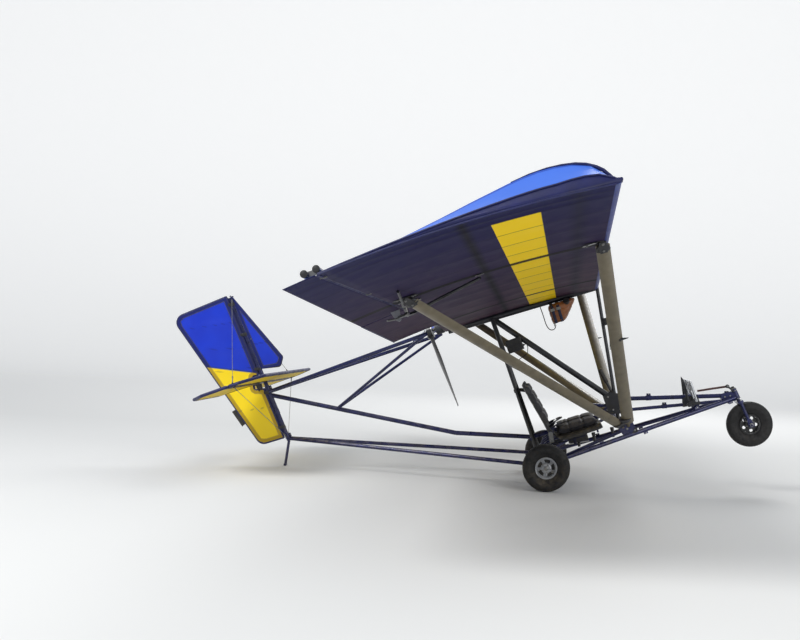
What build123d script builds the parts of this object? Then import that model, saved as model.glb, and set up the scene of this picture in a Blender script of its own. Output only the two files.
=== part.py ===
# Strut-braced pusher microlight, parked on its main wheels and tail skid
from build123d import *
from math import asin, atan2, cos, degrees, hypot, radians, sin, tan
import os

os.makedirs("parts", exist_ok=True)

# Driving dimensions (mm, degrees); craft axes start at the main axle's centre, level flight
WHEEL_R = 190.0
TYRE_W = 150.0
BRACE_R = 14.0
BRACE_BEND = 90.0
RIM_R = 84.0
RIM_WALL = 9.0
HUB_R = 30.0
AXLE_R = 16.0
NOSE_PIN_R = 10.0
NOSE_TYRE_W = 132.0
TRACK_Y = 756.0
NOSE_AXLE_X = 1730.0
TOW_PIN_END = 142.0
TOW_PIN_L = 30.0
TOW_PIN_R = 9.0

WING_LE_X = 693.0
WING_LE_Z = 1356.0
CHORD = 1725.0
HALF_SPAN = 4768.0
ROOT_Y = 27.0
INCIDENCE = 6.9
DIHEDRAL = 4.1
SWEEP = 0.37
TIP_SLOPE = 160.0
TIP_SHARE = 0.34
NOTCH_Y = 765.0
NOTCH_CHORD = 0.783
STRUT_Y = 2900.0
FRONT_SPAR = 0.025
REAR_SPAR = 0.773
STRUT_CHORD = 92.0
STRUT_THICK = 38.0

AILERON_SPAN = 2390.0
AILERON_Y1 = HALF_SPAN - 20.0
AILERON_Y0 = AILERON_Y1 - AILERON_SPAN
AILERON_F0 = 0.82
AILERON_F1 = 0.90
HINGE_GAP = 14.0
HINGE_BACK = 10.0
PIN_R = 3.0
PIN_FIT = 0.05
PIN_REACH = 18.0
LUG_R = 5.0

ROOT_TUBE_D = 60.0
FRAME_TUBE_D = 38.0
BOOM_D = 32.0
DOWNTUBE_D = 36.0
TYRE_CLEAR = 141.0
FRAME_Y = TRACK_Y - TYRE_W / 2 - TYRE_CLEAR
FOOT = (672.0, 950.0, 215.0)
NODE = (651.0, 0.0, 404.0)
HEAD = (1664.0, 0.0, 270.0)

PROP_BEHIND = 145.0
PROP_ABOVE = 58.0
PROP_R = 700.0
THRUST_TILT = 12.0

SKID_X = -2250.0
SKID_Z = 332.0
SKID_R = 12.0
SKID_SHOE = 22.0
POST_TOP = (-2475.0, 0.0, 1862.0)
POST_LOW = (-2180.0, 0.0, 535.0)
KEEL_END = (-2262.0, 0.0, 950.0)
KEEL_NODE = (-1700.0, 0.0, 730.0)
STAB_HALF = 1230.0
TAIL_HINGE_Z = 1082.0
TAIL_HINGE_CLEAR = 10.6
TAIL_TILT = 9.0
RUDDER_THICK = 28.0
RUDDER_SET = 40.0
POST_R = 18.0
TAIL_THICK = 26.0
STAB_GAP = 13.0
POST_LEAN = (POST_TOP[0] - POST_LOW[0]) / (POST_TOP[2] - POST_LOW[2])
TAIL_POST_X = POST_LOW[0] + POST_LEAN * (TAIL_HINGE_Z - POST_LOW[2])
TAIL_HINGE_X = TAIL_POST_X - POST_R - TAIL_THICK / 2 - TAIL_HINGE_CLEAR
RUDDER_TOP_AFT = (-3035.0, 1778.0)
RUDDER_LOW_AFT = (-2440.0, 531.0)
RUDDER_CORNER_R = 80.0

# Parked attitude: the ground touches both main wheels and the skid's end
reach = hypot(SKID_X, SKID_Z)
PITCH = atan2(SKID_Z, -SKID_X) + asin((WHEEL_R - SKID_R) / reach)
nose_end = NOSE_AXLE_X * cos(PITCH) + WHEEL_R
hinge_top = (POST_TOP[0] - RUDDER_SET, 0.0, POST_TOP[2] + 24)
hinge_low = (POST_LOW[0] - RUDDER_SET, 0.0, POST_LOW[2] + 24)
edge_top = atan2(hinge_top[2] - RUDDER_TOP_AFT[1], hinge_top[0] - RUDDER_TOP_AFT[0])
edge_aft = atan2(RUDDER_LOW_AFT[1] - RUDDER_TOP_AFT[1], RUDDER_LOW_AFT[0] - RUDDER_TOP_AFT[0])
corner_out = RUDDER_CORNER_R / sin((edge_top - edge_aft) / 2)
corner_x = RUDDER_TOP_AFT[0] + corner_out * cos((edge_top + edge_aft) / 2)
corner_z = RUDDER_TOP_AFT[1] + corner_out * sin((edge_top + edge_aft) / 2)
tail_end = corner_x * cos(PITCH) - corner_z * sin(PITCH) - RUDDER_CORNER_R
SHIFT = -(nose_end + tail_end) / 2
craft = Plane(origin=(SHIFT, 0, WHEEL_R), x_dir=(cos(PITCH), 0, sin(PITCH)), z_dir=(-sin(PITCH), 0, cos(PITCH)))


def at(point):
    # A craft point in the parked frame
    return craft.from_local_coords(Vector(*point))


def facing(start, end, side=None):
    # A plane at start that looks towards end
    a, b = at(start), at(end)
    if side is None:
        return Plane(origin=a, z_dir=(b - a).normalized())
    across = at(side) - at((0, 0, 0))
    return Plane(origin=a, x_dir=across, z_dir=(b - a).normalized())


def reach_of(start, end):
    return (at(end) - at(start)).length


def flipped(point):
    return (point[0], -point[1], point[2])


# Chord-plane point of the port wing: span station, chord fraction, height over the chord
def wing_point(y, fraction, rise=0.0):
    x = WING_LE_X - fraction * CHORD * cos(radians(INCIDENCE)) + rise * sin(radians(INCIDENCE))
    z = WING_LE_Z - fraction * CHORD * sin(radians(INCIDENCE)) + rise
    return (x - abs(y) * tan(radians(SWEEP)), y, z + abs(y) * tan(radians(DIHEDRAL)))


root = wing_point(ROOT_Y, 0.0)
aft = (-cos(radians(INCIDENCE)), 0.0, -sin(radians(INCIDENCE)))
out = (-sin(radians(SWEEP)), cos(radians(DIHEDRAL)), sin(radians(DIHEDRAL)))
rib = Plane(origin=at(root), x_dir=at(aft) - at((0, 0, 0)), z_dir=at(out) - at((0, 0, 0)))
# Chord plane: x aft, y outboard
deck = Plane(origin=at(root), x_dir=rib.x_dir, z_dir=-rib.y_dir)

# Aerofoil: a round nose, an arched top and a raised underside
NOSE_R = 27.0
TOP_FRONT = ((NOSE_R * 0.6, NOSE_R * 1.9), (0.19 * CHORD, 0.112 * CHORD), (0.52 * CHORD, 0.071 * CHORD))
TOP_REAR = (TOP_FRONT[2], (0.77 * CHORD, 0.034 * CHORD), (CHORD, 3.0))
UNDERSIDE = ((CHORD, -3.0), (0.45 * CHORD, 0.024 * CHORD), (NOSE_R, -NOSE_R * 0.2))
NOSE_ARC = (UNDERSIDE[2], (-NOSE_R * 0.5, NOSE_R * 0.7), TOP_FRONT[0])
SPAN = (HALF_SPAN - ROOT_Y) / cos(radians(DIHEDRAL))
SECTION = (TOP_FRONT, TOP_REAR, (TOP_REAR[2], UNDERSIDE[0]), UNDERSIDE, NOSE_ARC)


def arc_height(three, x):
    # Height at x of the arc through three section points
    (x1, y1), (x2, y2), (x3, y3) = three
    d = 2 * (x1 * (y2 - y3) + x2 * (y3 - y1) + x3 * (y1 - y2))
    s1, s2, s3 = x1 * x1 + y1 * y1, x2 * x2 + y2 * y2, x3 * x3 + y3 * y3
    cx = (s1 * (y2 - y3) + s2 * (y3 - y1) + s3 * (y1 - y2)) / d
    cy = (s1 * (x3 - x2) + s2 * (x1 - x3) + s3 * (x2 - x1)) / d
    side = 1 if y2 > cy else -1
    return cy + side * (hypot(x1 - cx, y1 - cy) ** 2 - (x - cx) ** 2) ** 0.5


def section_runs(share):
    # The aerofoil's runs, with their height over the underside cut to a share
    runs = []
    for run in SECTION:
        points = []
        for x, y in run:
            low = arc_height(UNDERSIDE, max(x, UNDERSIDE[2][0]))
            points.append((x if x > 0 else x * share, low + (y - low) * share))
        runs.append(points)
    return runs


# The last bay slopes down to a thin tip: distance along the span, share of the height
STATIONS = ((0.0, 1.0), (SPAN - TIP_SLOPE, 1.0), (SPAN, TIP_SHARE))


def deck_point(x, y):
    # Middle of the wing's thickness at a chord-plane point, parked frame
    rise = (arc_height(TOP_REAR, x) + arc_height(UNDERSIDE, x)) / 2
    return deck.from_local_coords(Vector(x, y, -rise))


def hinge_planes(low, high, shares, ahead):
    # Planes across a hinge line: z along it, x away from the fixed part
    line = (high - low).normalized()
    flat = (ahead - line * ahead.dot(line)).normalized()
    return [Plane(origin=low + (high - low) * share, x_dir=flat, z_dir=line) for share in shares]


# Aileron hinge line, a little behind the aileron's front face
hinge_in = deck_point(AILERON_F0 * CHORD + HINGE_BACK, AILERON_Y0)
hinge_out = deck_point(AILERON_F1 * CHORD + HINGE_BACK, AILERON_Y1)
aileron_hinges = hinge_planes(hinge_in, hinge_out, (0.05, 0.5, 0.95), deck.x_dir)

# The whole half wing, before its notch and aileron are cut
with BuildPart() as half_wing:
    for along, share in STATIONS:
        with BuildSketch(rib.offset(along)):
            with BuildLine():
                for run in section_runs(share):
                    if len(run) == 3:
                        ThreePointArc(*run)
                    else:
                        Line(*run)
            make_face()
    loft(ruled=True)

# Wing panel, with its notch for the propeller and the space for its aileron
with BuildPart() as wing_left:
    add(half_wing.part)
    with BuildSketch(deck.offset(-250)):
        with Locations((NOTCH_CHORD * CHORD, 0)):
            Rectangle(CHORD, (NOTCH_Y - ROOT_Y) * 2, align=(Align.MIN, Align.CENTER))
    extrude(amount=500, mode=Mode.SUBTRACT)
    with BuildSketch(deck.offset(-250)):
        with BuildLine():
            Polyline(
                (AILERON_F0 * CHORD - HINGE_GAP, AILERON_Y0 - HINGE_GAP),
                (AILERON_F1 * CHORD - HINGE_GAP, HALF_SPAN + 60),
                (CHORD + 60, HALF_SPAN + 60),
                (CHORD + 60, AILERON_Y0 - HINGE_GAP),
                close=True,
            )
        make_face()
    extrude(amount=500, mode=Mode.SUBTRACT)
    for plane in aileron_hinges:
        with BuildSketch(plane):
            with Locations((-(HINGE_GAP + HINGE_BACK + 12) / 2, 0)):
                Rectangle(HINGE_GAP + HINGE_BACK + 12, 2 * LUG_R)
            Circle(LUG_R)
        extrude(amount=LUG_R, both=True)
        with BuildSketch(plane):
            Circle(PIN_R)
        extrude(amount=PIN_REACH, both=True)
wing_left.part.label = "wing_left"
export_step(wing_left.part, "parts/wing_left.step")

# Aileron: the aerofoil's tail behind a straight hinge line
with BuildPart() as aileron_left:
    add(half_wing.part)
    with BuildSketch(deck.offset(-250)):
        with BuildLine():
            Polyline(
                (AILERON_F0 * CHORD, AILERON_Y0),
                (AILERON_F1 * CHORD, AILERON_Y1),
                (CHORD + 60, AILERON_Y1),
                (CHORD + 60, AILERON_Y0),
                close=True,
            )
        make_face()
    extrude(amount=500, mode=Mode.INTERSECT)
    for plane in aileron_hinges:
        with BuildSketch(plane):
            with Locations((-20 + LUG_R / 2 + 2, 0)):
                Rectangle(40 + LUG_R + 4, 80)
        extrude(amount=LUG_R + 3, both=True, mode=Mode.SUBTRACT)
        with BuildSketch(plane):
            Circle(PIN_R + PIN_FIT)
        extrude(amount=PIN_REACH + 1, both=True, mode=Mode.SUBTRACT)
aileron_left.part.label = "aileron_left"
export_step(aileron_left.part, "parts/aileron_left.step")

# The starboard pieces are mirror images
with BuildPart() as wing_right:
    mirror(wing_left.part, about=Plane.XZ)
wing_right.part.label = "wing_right"
export_step(wing_right.part, "parts/wing_right.step")
with BuildPart() as aileron_right:
    mirror(aileron_left.part, about=Plane.XZ)
aileron_right.part.label = "aileron_right"
export_step(aileron_right.part, "parts/aileron_right.step")

# Centre-line and paired tubes: name, start, end, diameter
root_front = wing_point(0, 0.0, 16.0)
root_rear = wing_point(0, 0.775, 34.0)
boom_top = wing_point(NOTCH_Y, 0.84, -14.0)
tail_node = (-2271.0, 22.0, 985.0)
axle_end = (-20.0, FRAME_Y, 0.0)
foot_low = (-4.0, FRAME_Y - 28.0, 2.0)
down_top = wing_point(42.0, 0.545, 18.0)
down_low = (-42.0, 250.0, 6.0)
keel_front = (-84.0, 0.0, 203.0)
kink = (-722.0, 0.0, 348.0)
seat_nose = (662.0, 0.0, 300.0)
brace_kink = (451.0, 0.0, 388.0)
CENTRE_TUBES = [
    ("root_tube", root_front, root_rear, ROOT_TUBE_D),
    ("front_downtube", wing_point(0.0, 0.552, 34.0), NODE, 50.0),
    ("front_tube", wing_point(0.0, 0.003, 20.0), (666.0, 0.0, FOOT[2]), 30.0),
    ("keel_front", keel_front, kink, FRAME_TUBE_D),
    ("keel_rear", kink, KEEL_END, FRAME_TUBE_D),
    ("seat_keel", keel_front, seat_nose, FRAME_TUBE_D),
    ("nose_tube_upper", NODE, (HEAD[0] - 25, 0.0, HEAD[2] - 8), FRAME_TUBE_D),
    ("nose_tube_lower", seat_nose, (1622.0, 0.0, 224.0), 30.0),
    ("axle", (0.0, -TRACK_Y - 68, 0.0), (0.0, TRACK_Y + 68, 0.0), 2 * AXLE_R),
    ("foot_cross_tube", flipped(FOOT), FOOT, 34.0),
    ("seat_front_tube", (527.0, -446.0, 282.5), (527.0, 446.0, 282.5), 30.0),
    ("seat_cross_tube", (-84.0, -232.0, 203.0), (-84.0, 232.0, 203.0), 30.0),
]
PAIRED_TUBES = [
    ("lower_frame", axle_end, (1654.0, 20.5, 239.0), FRAME_TUBE_D),
    ("foot_brace", FOOT, foot_low, 28.0),
    ("rear_downtube", down_top, down_low, DOWNTUBE_D),
    ("upper_boom", boom_top, tail_node, BOOM_D),
    ("lower_boom", axle_end, (POST_LOW[0] + 10, 16.5, POST_LOW[2] + 16), BOOM_D),
    ("boom_diagonal", boom_top, (KEEL_NODE[0], 14.0, KEEL_NODE[2] + 8), 25.0),
]
tubes = list(CENTRE_TUBES)
for name, start, end, size in PAIRED_TUBES:
    tubes.append((name + "_left", start, end, size))
    tubes.append((name + "_right", flipped(start), flipped(end), size))
for name, start, end, size in tubes:
    with BuildPart() as tube:
        with BuildSketch(facing(start, end)):
            Circle(size / 2)
        extrude(amount=reach_of(start, end))
    tube.part.label = name
    export_step(tube.part, f"parts/{name}.step")

# Seat brace: a bent tube from the front node up to a bar between the rear downtubes
BRACE = [(650.0, 0.0, 345.0), brace_kink, (193.0, 0.0, 581.0), (-162.0, 0.0, 850.0)]
with BuildPart() as seat_brace:
    with BuildLine() as brace_path:
        FilletPolyline(*[at(point) for point in BRACE], radius=BRACE_BEND)
    with BuildSketch(facing(BRACE[0], BRACE[1])):
        Circle(BRACE_R)
    sweep(path=brace_path.line)
    with BuildSketch(Plane(origin=at((BRACE[-1][0], -114.0, BRACE[-1][2])), z_dir=(0, 1, 0))):
        Circle(BRACE_R - 1.5)
    extrude(amount=228)
seat_brace.part.label = "seat_brace"
export_step(seat_brace.part, "parts/seat_brace.step")

# Lift struts: a round tube with a lens fairing, its long axis fore and aft
for side, sign in (("left", 1), ("right", -1)):
    for place, fraction, rise, step in (("front", FRONT_SPAR, 10.0, 16), ("rear", REAR_SPAR, 26.0, -16)):
        top = wing_point(STRUT_Y * sign, fraction, rise)
        foot = (FOOT[0] + step, FOOT[1] * sign, FOOT[2] + 8)
        base = facing(foot, top, (1, 0, 0))
        with BuildPart() as strut:
            with BuildSketch(base):
                Circle(14)
            extrude(amount=reach_of(foot, top))
            with BuildSketch(base.offset(80)):
                with BuildLine():
                    ThreePointArc((-STRUT_CHORD / 2, 0), (0, STRUT_THICK / 2), (STRUT_CHORD / 2, 0))
                    ThreePointArc((STRUT_CHORD / 2, 0), (0, -STRUT_THICK / 2), (-STRUT_CHORD / 2, 0))
                make_face()
            extrude(amount=reach_of(foot, top) - 140)
        strut.part.label = f"{place}_strut_{side}"
        export_step(strut.part, f"parts/{place}_strut_{side}.step")

# Rudder hinge line, parallel to the post
rudder_hinges = hinge_planes(at(hinge_low), at(hinge_top), (0.08, 0.55, 0.95), -craft.x_dir)

# Tail post with the rudder's hinge lugs, and the skid's spring tube down to the ground
with BuildPart() as tail_post:
    with BuildSketch(facing(POST_TOP, POST_LOW)):
        Circle(POST_R)
    extrude(amount=reach_of(POST_TOP, POST_LOW))
    with BuildSketch(facing(POST_LOW, (SKID_X, 0, SKID_Z))):
        Circle(SKID_R)
    extrude(amount=reach_of(POST_LOW, (SKID_X, 0, SKID_Z)))
    with BuildSketch(Plane(origin=at((SKID_X, -SKID_SHOE, SKID_Z)), z_dir=(0, 1, 0))):
        Circle(SKID_R)
    extrude(amount=2 * SKID_SHOE)
    for plane in rudder_hinges:
        with BuildSketch(plane):
            with Locations((-RUDDER_SET / 2, 0)):
                Rectangle(RUDDER_SET, 2 * LUG_R)
            Circle(LUG_R)
        extrude(amount=LUG_R, both=True)
        with BuildSketch(plane):
            Circle(PIN_R)
        extrude(amount=PIN_REACH, both=True)
tail_post.part.label = "tail_post"
export_step(tail_post.part, "parts/tail_post.step")

# Wheels: name, centre, tyre width, outboard side, hub bore
WHEELS = [
    ("left", (0.0, TRACK_Y, 0.0), TYRE_W, 1, AXLE_R),
    ("right", (0.0, -TRACK_Y, 0.0), TYRE_W, -1, AXLE_R),
    ("nose", (NOSE_AXLE_X, 0.0, 0.0), NOSE_TYRE_W, 1, NOSE_PIN_R),
]
# Tyre section: share of the way from rim to tread, share of the half width
TYRE_SECTION = [(0.0, 0.72), (0.18, 0.92), (0.42, 1.0), (0.68, 0.93), (0.86, 0.70), (0.97, 0.36), (1.0, 0.12)]
for name, centre, width, sign, bore in WHEELS:
    half = width / 2
    bead = half * TYRE_SECTION[0][1]
    disc = Plane(origin=at(centre), x_dir=(1, 0, 0), z_dir=(0, sign, 0))
    rise = WHEEL_R - RIM_R
    side = [(RIM_R + rise * share, half * wide) for share, wide in TYRE_SECTION]
    section = [(r, -h) for r, h in side] + [(r, h) for r, h in reversed(side)]
    with BuildPart() as tyre:
        with BuildSketch(Plane(origin=at(centre), x_dir=(1, 0, 0), z_dir=(0, 0, 1))):
            with BuildLine():
                Polyline(*section, close=True)
            make_face()
        revolve(axis=Axis(at(centre), (0, 1, 0)))
    tyre.part.label = f"tyre_{name}"
    export_step(tyre.part, f"parts/tyre_{name}.step")
    with BuildPart() as wheel:
        with BuildSketch(disc.offset(-bead)):
            Circle(RIM_R)
            Circle(RIM_R - RIM_WALL, mode=Mode.SUBTRACT)
        extrude(amount=2 * bead)
        with BuildSketch(disc.offset(bead - 34)):
            Circle(RIM_R - RIM_WALL)
            with PolarLocations(53, 5):
                RegularPolygon(14, 10, mode=Mode.SUBTRACT)
        extrude(amount=-10)
        with BuildSketch(disc.offset(-bead)):
            Circle(HUB_R)
        extrude(amount=2 * bead + 4)
        with BuildSketch(disc.offset(-half)):
            Circle(bore + PIN_FIT)
        extrude(amount=width, mode=Mode.SUBTRACT)
    wheel.part.label = f"rim_{name}"
    export_step(wheel.part, f"parts/rim_{name}.step")

# Steering head: a sleeve on the steering axis, raked so that it points at the nose axle
nose_axle = (NOSE_AXLE_X, 0.0, 0.0)
head_len = hypot(NOSE_AXLE_X - HEAD[0], HEAD[2])
steer_up = ((HEAD[0] - NOSE_AXLE_X) / head_len, 0.0, HEAD[2] / head_len)


def steer(height):
    return (NOSE_AXLE_X + steer_up[0] * height, 0.0, steer_up[2] * height)


with BuildPart() as steering_head:
    with BuildSketch(facing(steer(236), steer(306))):
        Circle(24)
        Circle(15.05, mode=Mode.SUBTRACT)
    extrude(amount=70)
steering_head.part.label = "steering_head"
export_step(steering_head.part, "parts/steering_head.step")

# Nose fork: stem, crown, two legs, the axle and a steering arm
with BuildPart() as nose_fork:
    with BuildSketch(facing(steer(204), steer(320), (1, 0, 0))):
        Circle(15)
    extrude(amount=116)
    with BuildSketch(facing(steer(200), steer(216), (1, 0, 0))):
        RectangleRounded(50, 214, 16)
    extrude(amount=16)
    for sign in (1, -1):
        crown = (steer(208)[0], 93.0 * sign, steer(208)[2])
        with BuildSketch(facing(crown, (NOSE_AXLE_X, 93.0 * sign, -6.0))):
            Circle(13)
        extrude(amount=reach_of(crown, (NOSE_AXLE_X, 93.0 * sign, -6.0)))
    for length, pin_r in ((TOW_PIN_END, TOW_PIN_R), (TOW_PIN_END - TOW_PIN_L, NOSE_PIN_R)):
        with BuildSketch(facing((NOSE_AXLE_X, -length, 0.0), (NOSE_AXLE_X, length, 0.0))):
            Circle(pin_r)
        extrude(amount=2 * length)
    with BuildSketch(facing(steer(312), steer(320), (1, 0, 0))):
        Circle(24)
        with Locations((0, 45)):
            Rectangle(22, 90)
    extrude(amount=8)
nose_fork.part.label = "nose_fork"
export_step(nose_fork.part, "parts/nose_fork.step")

def nearest(corner):
    # The sketch's own vertex at a corner
    return vertices().sort_by_distance((corner[0], corner[1], 0))[0]


# Fin, over the tail post
FIN_OUTLINE = [(-2485, 1884), (-2448, 1874), (-2098, 1266), (-2136, 1182), (-2318, 1182)]
FIN_CORNER_R = 36.0
fin_plane = Plane(origin=at((0, 0, 0)), x_dir=craft.x_dir, z_dir=(0, -1, 0))
with BuildPart() as fin:
    with BuildSketch(fin_plane.offset(-11)):
        with BuildLine():
            Polyline(*FIN_OUTLINE, close=True)
        make_face()
        for corner in FIN_OUTLINE[2:4]:
            fillet(nearest(corner), radius=FIN_CORNER_R)
    extrude(amount=22)
fin.part.label = "fin"
export_step(fin.part, "parts/fin.step")

# Rudder, hung behind the post; its edge stands a little ahead of the hinge line
with BuildPart() as rudder:
    with BuildSketch(fin_plane.offset(-RUDDER_THICK / 2)):
        with BuildLine():
            Polyline(
                (hinge_top[0] + HINGE_BACK, hinge_top[2]),
                RUDDER_TOP_AFT,
                RUDDER_LOW_AFT,
                (hinge_low[0] + HINGE_BACK, hinge_low[2]),
                close=True,
            )
        make_face()
        for corner in (RUDDER_TOP_AFT, RUDDER_LOW_AFT):
            fillet(nearest(corner), radius=RUDDER_CORNER_R)
        with Locations((TAIL_HINGE_X, TAIL_HINGE_Z)):
            Rectangle(110, 110, mode=Mode.SUBTRACT)
    extrude(amount=RUDDER_THICK)
    for plane in rudder_hinges:
        with BuildSketch(plane):
            with Locations((-20 + LUG_R / 2 + 2, 0)):
                Rectangle(40 + LUG_R + 4, 80)
        extrude(amount=LUG_R + 3, both=True, mode=Mode.SUBTRACT)
        with BuildSketch(plane):
            Circle(PIN_R + PIN_FIT)
        extrude(amount=PIN_REACH + 1, both=True, mode=Mode.SUBTRACT)
rudder.part.label = "rudder"
export_step(rudder.part, "parts/rudder.step")

# Stabilizer and elevator: one flat tilted plate each, corners clipped
tail_plane = Plane(
    origin=at((TAIL_HINGE_X, 0, TAIL_HINGE_Z)),
    x_dir=at((cos(radians(TAIL_TILT)), 0, sin(radians(TAIL_TILT)))) - at((0, 0, 0)),
    z_dir=at((-sin(radians(TAIL_TILT)), 0, cos(radians(TAIL_TILT)))) - at((0, 0, 0)),
)
tail_hinges = [
    Plane(origin=tail_plane.from_local_coords(Vector(0, y, 0)), x_dir=-tail_plane.x_dir, z_dir=(0, 1, 0))
    for y in (-STAB_HALF + 60, -400, 400, STAB_HALF - 60)
]
stab_rear = TAIL_THICK / 2 + STAB_GAP
post_x = TAIL_POST_X - TAIL_HINGE_X
with BuildPart() as stabilizer:
    with BuildSketch(tail_plane.offset(-TAIL_THICK / 2)):
        with BuildLine():
            Polyline(
                (stab_rear, -STAB_HALF),
                (120, -STAB_HALF),
                (285, -STAB_HALF + 260),
                (285, STAB_HALF - 260),
                (120, STAB_HALF),
                (stab_rear, STAB_HALF),
                close=True,
            )
        make_face()
        with Locations((post_x + POST_R + 6, 0)):
            Rectangle(120, 2 * POST_R + 0.6, align=(Align.MAX, Align.CENTER), mode=Mode.SUBTRACT)
    extrude(amount=TAIL_THICK)
    for plane in tail_hinges:
        with BuildSketch(plane):
            with Locations((-(stab_rear + 8) / 2, 0)):
                Rectangle(stab_rear + 8, 2 * LUG_R)
            Circle(LUG_R)
        extrude(amount=LUG_R, both=True)
        with BuildSketch(plane):
            Circle(PIN_R)
        extrude(amount=PIN_REACH, both=True)
stabilizer.part.label = "stabilizer"
export_step(stabilizer.part, "parts/stabilizer.step")

with BuildPart() as elevator:
    for sign in (1, -1):
        with BuildSketch(tail_plane.offset(-TAIL_THICK / 2)):
            with BuildLine():
                Polyline(
                    (0, 60 * sign),
                    (0, STAB_HALF * sign),
                    (-210, STAB_HALF * sign),
                    (-335, (STAB_HALF - 190) * sign),
                    (-335, 300 * sign),
                    close=True,
                )
            make_face()
        extrude(amount=TAIL_THICK)
    with BuildSketch(Plane(origin=at((TAIL_HINGE_X, -STAB_HALF, TAIL_HINGE_Z)), z_dir=(0, 1, 0))):
        Circle(TAIL_THICK / 2)
    extrude(amount=2 * STAB_HALF)
    for plane in tail_hinges:
        with BuildSketch(plane):
            with Locations((-20 + LUG_R / 2 + 2, 0)):
                Rectangle(40 + LUG_R + 4, 80)
        extrude(amount=LUG_R + 3, both=True, mode=Mode.SUBTRACT)
        with BuildSketch(plane):
            Circle(PIN_R + PIN_FIT)
        extrude(amount=PIN_REACH + 1, both=True, mode=Mode.SUBTRACT)
elevator.part.label = "elevator"
export_step(elevator.part, "parts/elevator.step")

# Engine frame: forward, port and up from the propeller's hub
tilt = radians(THRUST_TILT)
notch = wing_point(0.0, NOTCH_CHORD)
PROP_HUB = (notch[0] - PROP_BEHIND, 0.0, notch[2] + PROP_ABOVE)
thrust = Plane(
    origin=at(PROP_HUB),
    x_dir=at((cos(tilt), 0, sin(tilt))) - at((0, 0, 0)),
    z_dir=at((-sin(tilt), 0, cos(tilt))) - at((0, 0, 0)),
)


def on_engine(x, y, z):
    return thrust.from_local_coords(Vector(x, y, z))


CRANK_Z = 150.0
CASE_H = 150.0
with BuildPart() as crankcase:
    with BuildSketch(Plane(origin=on_engine(124, 0, CRANK_Z), x_dir=(0, 1, 0), z_dir=thrust.x_dir)):
        RectangleRounded(200, CASE_H, 40)
    extrude(amount=310)
crankcase.part.label = "crankcase"
export_step(crankcase.part, "parts/crankcase.step")

# Fin outline: a square with its corners cut
FIN = 67.0
FIN_CUT = 22.0
FIN_SHAPE = [(FIN, FIN - FIN_CUT), (FIN - FIN_CUT, FIN), (FIN_CUT - FIN, FIN), (-FIN, FIN - FIN_CUT)]
FIN_SHAPE += [(-x, -y) for x, y in FIN_SHAPE]
FIN_STEP = 16.0
FIN_COUNT = 8
CYLINDER_X = (220.0, 370.0)
with BuildPart() as cylinders:
    for x in CYLINDER_X:
        up = Plane(origin=on_engine(x, 0, CRANK_Z + CASE_H / 2), x_dir=thrust.x_dir, z_dir=thrust.z_dir)
        with BuildSketch(up):
            RegularPolygon(44, 12)
        extrude(amount=FIN_STEP * (FIN_COUNT + 1))
        for step in range(FIN_COUNT):
            with BuildSketch(up.offset(FIN_STEP * (step + 0.8))):
                Polygon(*FIN_SHAPE, align=None)
            extrude(amount=5)
        with BuildSketch(up.offset(FIN_STEP * (FIN_COUNT + 1))):
            RectangleRounded(118, 118, 26)
        extrude(amount=34)
        with BuildSketch(up.offset(FIN_STEP * (FIN_COUNT + 1) + 34)):
            Circle(14)
        extrude(amount=26)
cylinders.part.label = "cylinders"
export_step(cylinders.part, "parts/cylinders.step")

with BuildPart() as reduction_drive:
    with BuildSketch(Plane(origin=on_engine(58, 0, 0), x_dir=(0, 1, 0), z_dir=thrust.x_dir)):
        Circle(58)
        with Locations((0, CRANK_Z)):
            Circle(74)
        with Locations((0, CRANK_Z / 2)):
            Rectangle(104, CRANK_Z)
    extrude(amount=66)
    with BuildSketch(Plane(origin=on_engine(58, 0, 0), x_dir=(0, 1, 0), z_dir=thrust.x_dir)):
        Circle(15.05)
    extrude(amount=56, mode=Mode.SUBTRACT)
reduction_drive.part.label = "reduction_drive"
export_step(reduction_drive.part, "parts/reduction_drive.step")

with BuildPart() as engine_mount:
    with BuildSketch(Plane(origin=on_engine(150, 0, 0), x_dir=(0, 1, 0), z_dir=thrust.x_dir)):
        with Locations((0, (CRANK_Z - 75) / 2 - 10)):
            Rectangle(48, CRANK_Z - 75 + 20)
    extrude(amount=310)
engine_mount.part.label = "engine_mount"
export_step(engine_mount.part, "parts/engine_mount.step")

# Propeller: hub, shaft and two twisted blades
BLADE_TURN = 12.0
prop = Plane(origin=on_engine(0, 0, 0), x_dir=(0, 1, 0), z_dir=thrust.x_dir)
BLADE = [(40, 60, 32, 24), (260, 112, 24, 17), (PROP_R, 60, 13, 7)]
with BuildPart() as propeller:
    with BuildSketch(prop.offset(-22)):
        Circle(60)
    extrude(amount=44)
    with BuildSketch(prop):
        Circle(15)
    extrude(amount=112)
    for turn in (BLADE_TURN, BLADE_TURN + 180):
        for radius, chord, pitch, thick in BLADE:
            c = radians(turn)
            centre = prop.from_local_coords(Vector(sin(c) * radius, cos(c) * radius, 0))
            outward = prop.from_local_coords(Vector(sin(c), cos(c), 0)) - prop.origin
            across = prop.from_local_coords(Vector(cos(c), -sin(c), 0)) - prop.origin
            axis = prop.z_dir
            p = radians(pitch)
            station = Plane(origin=centre, x_dir=across * cos(p) + axis * sin(p), z_dir=outward)
            with BuildSketch(station):
                with BuildLine():
                    ThreePointArc((-chord / 2, 0), (0, thick / 2), (chord / 2, 0))
                    ThreePointArc((chord / 2, 0), (0, -thick / 2), (-chord / 2, 0))
                make_face()
        loft(ruled=True)
propeller.part.label = "propeller"
export_step(propeller.part, "parts/propeller.step")

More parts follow.
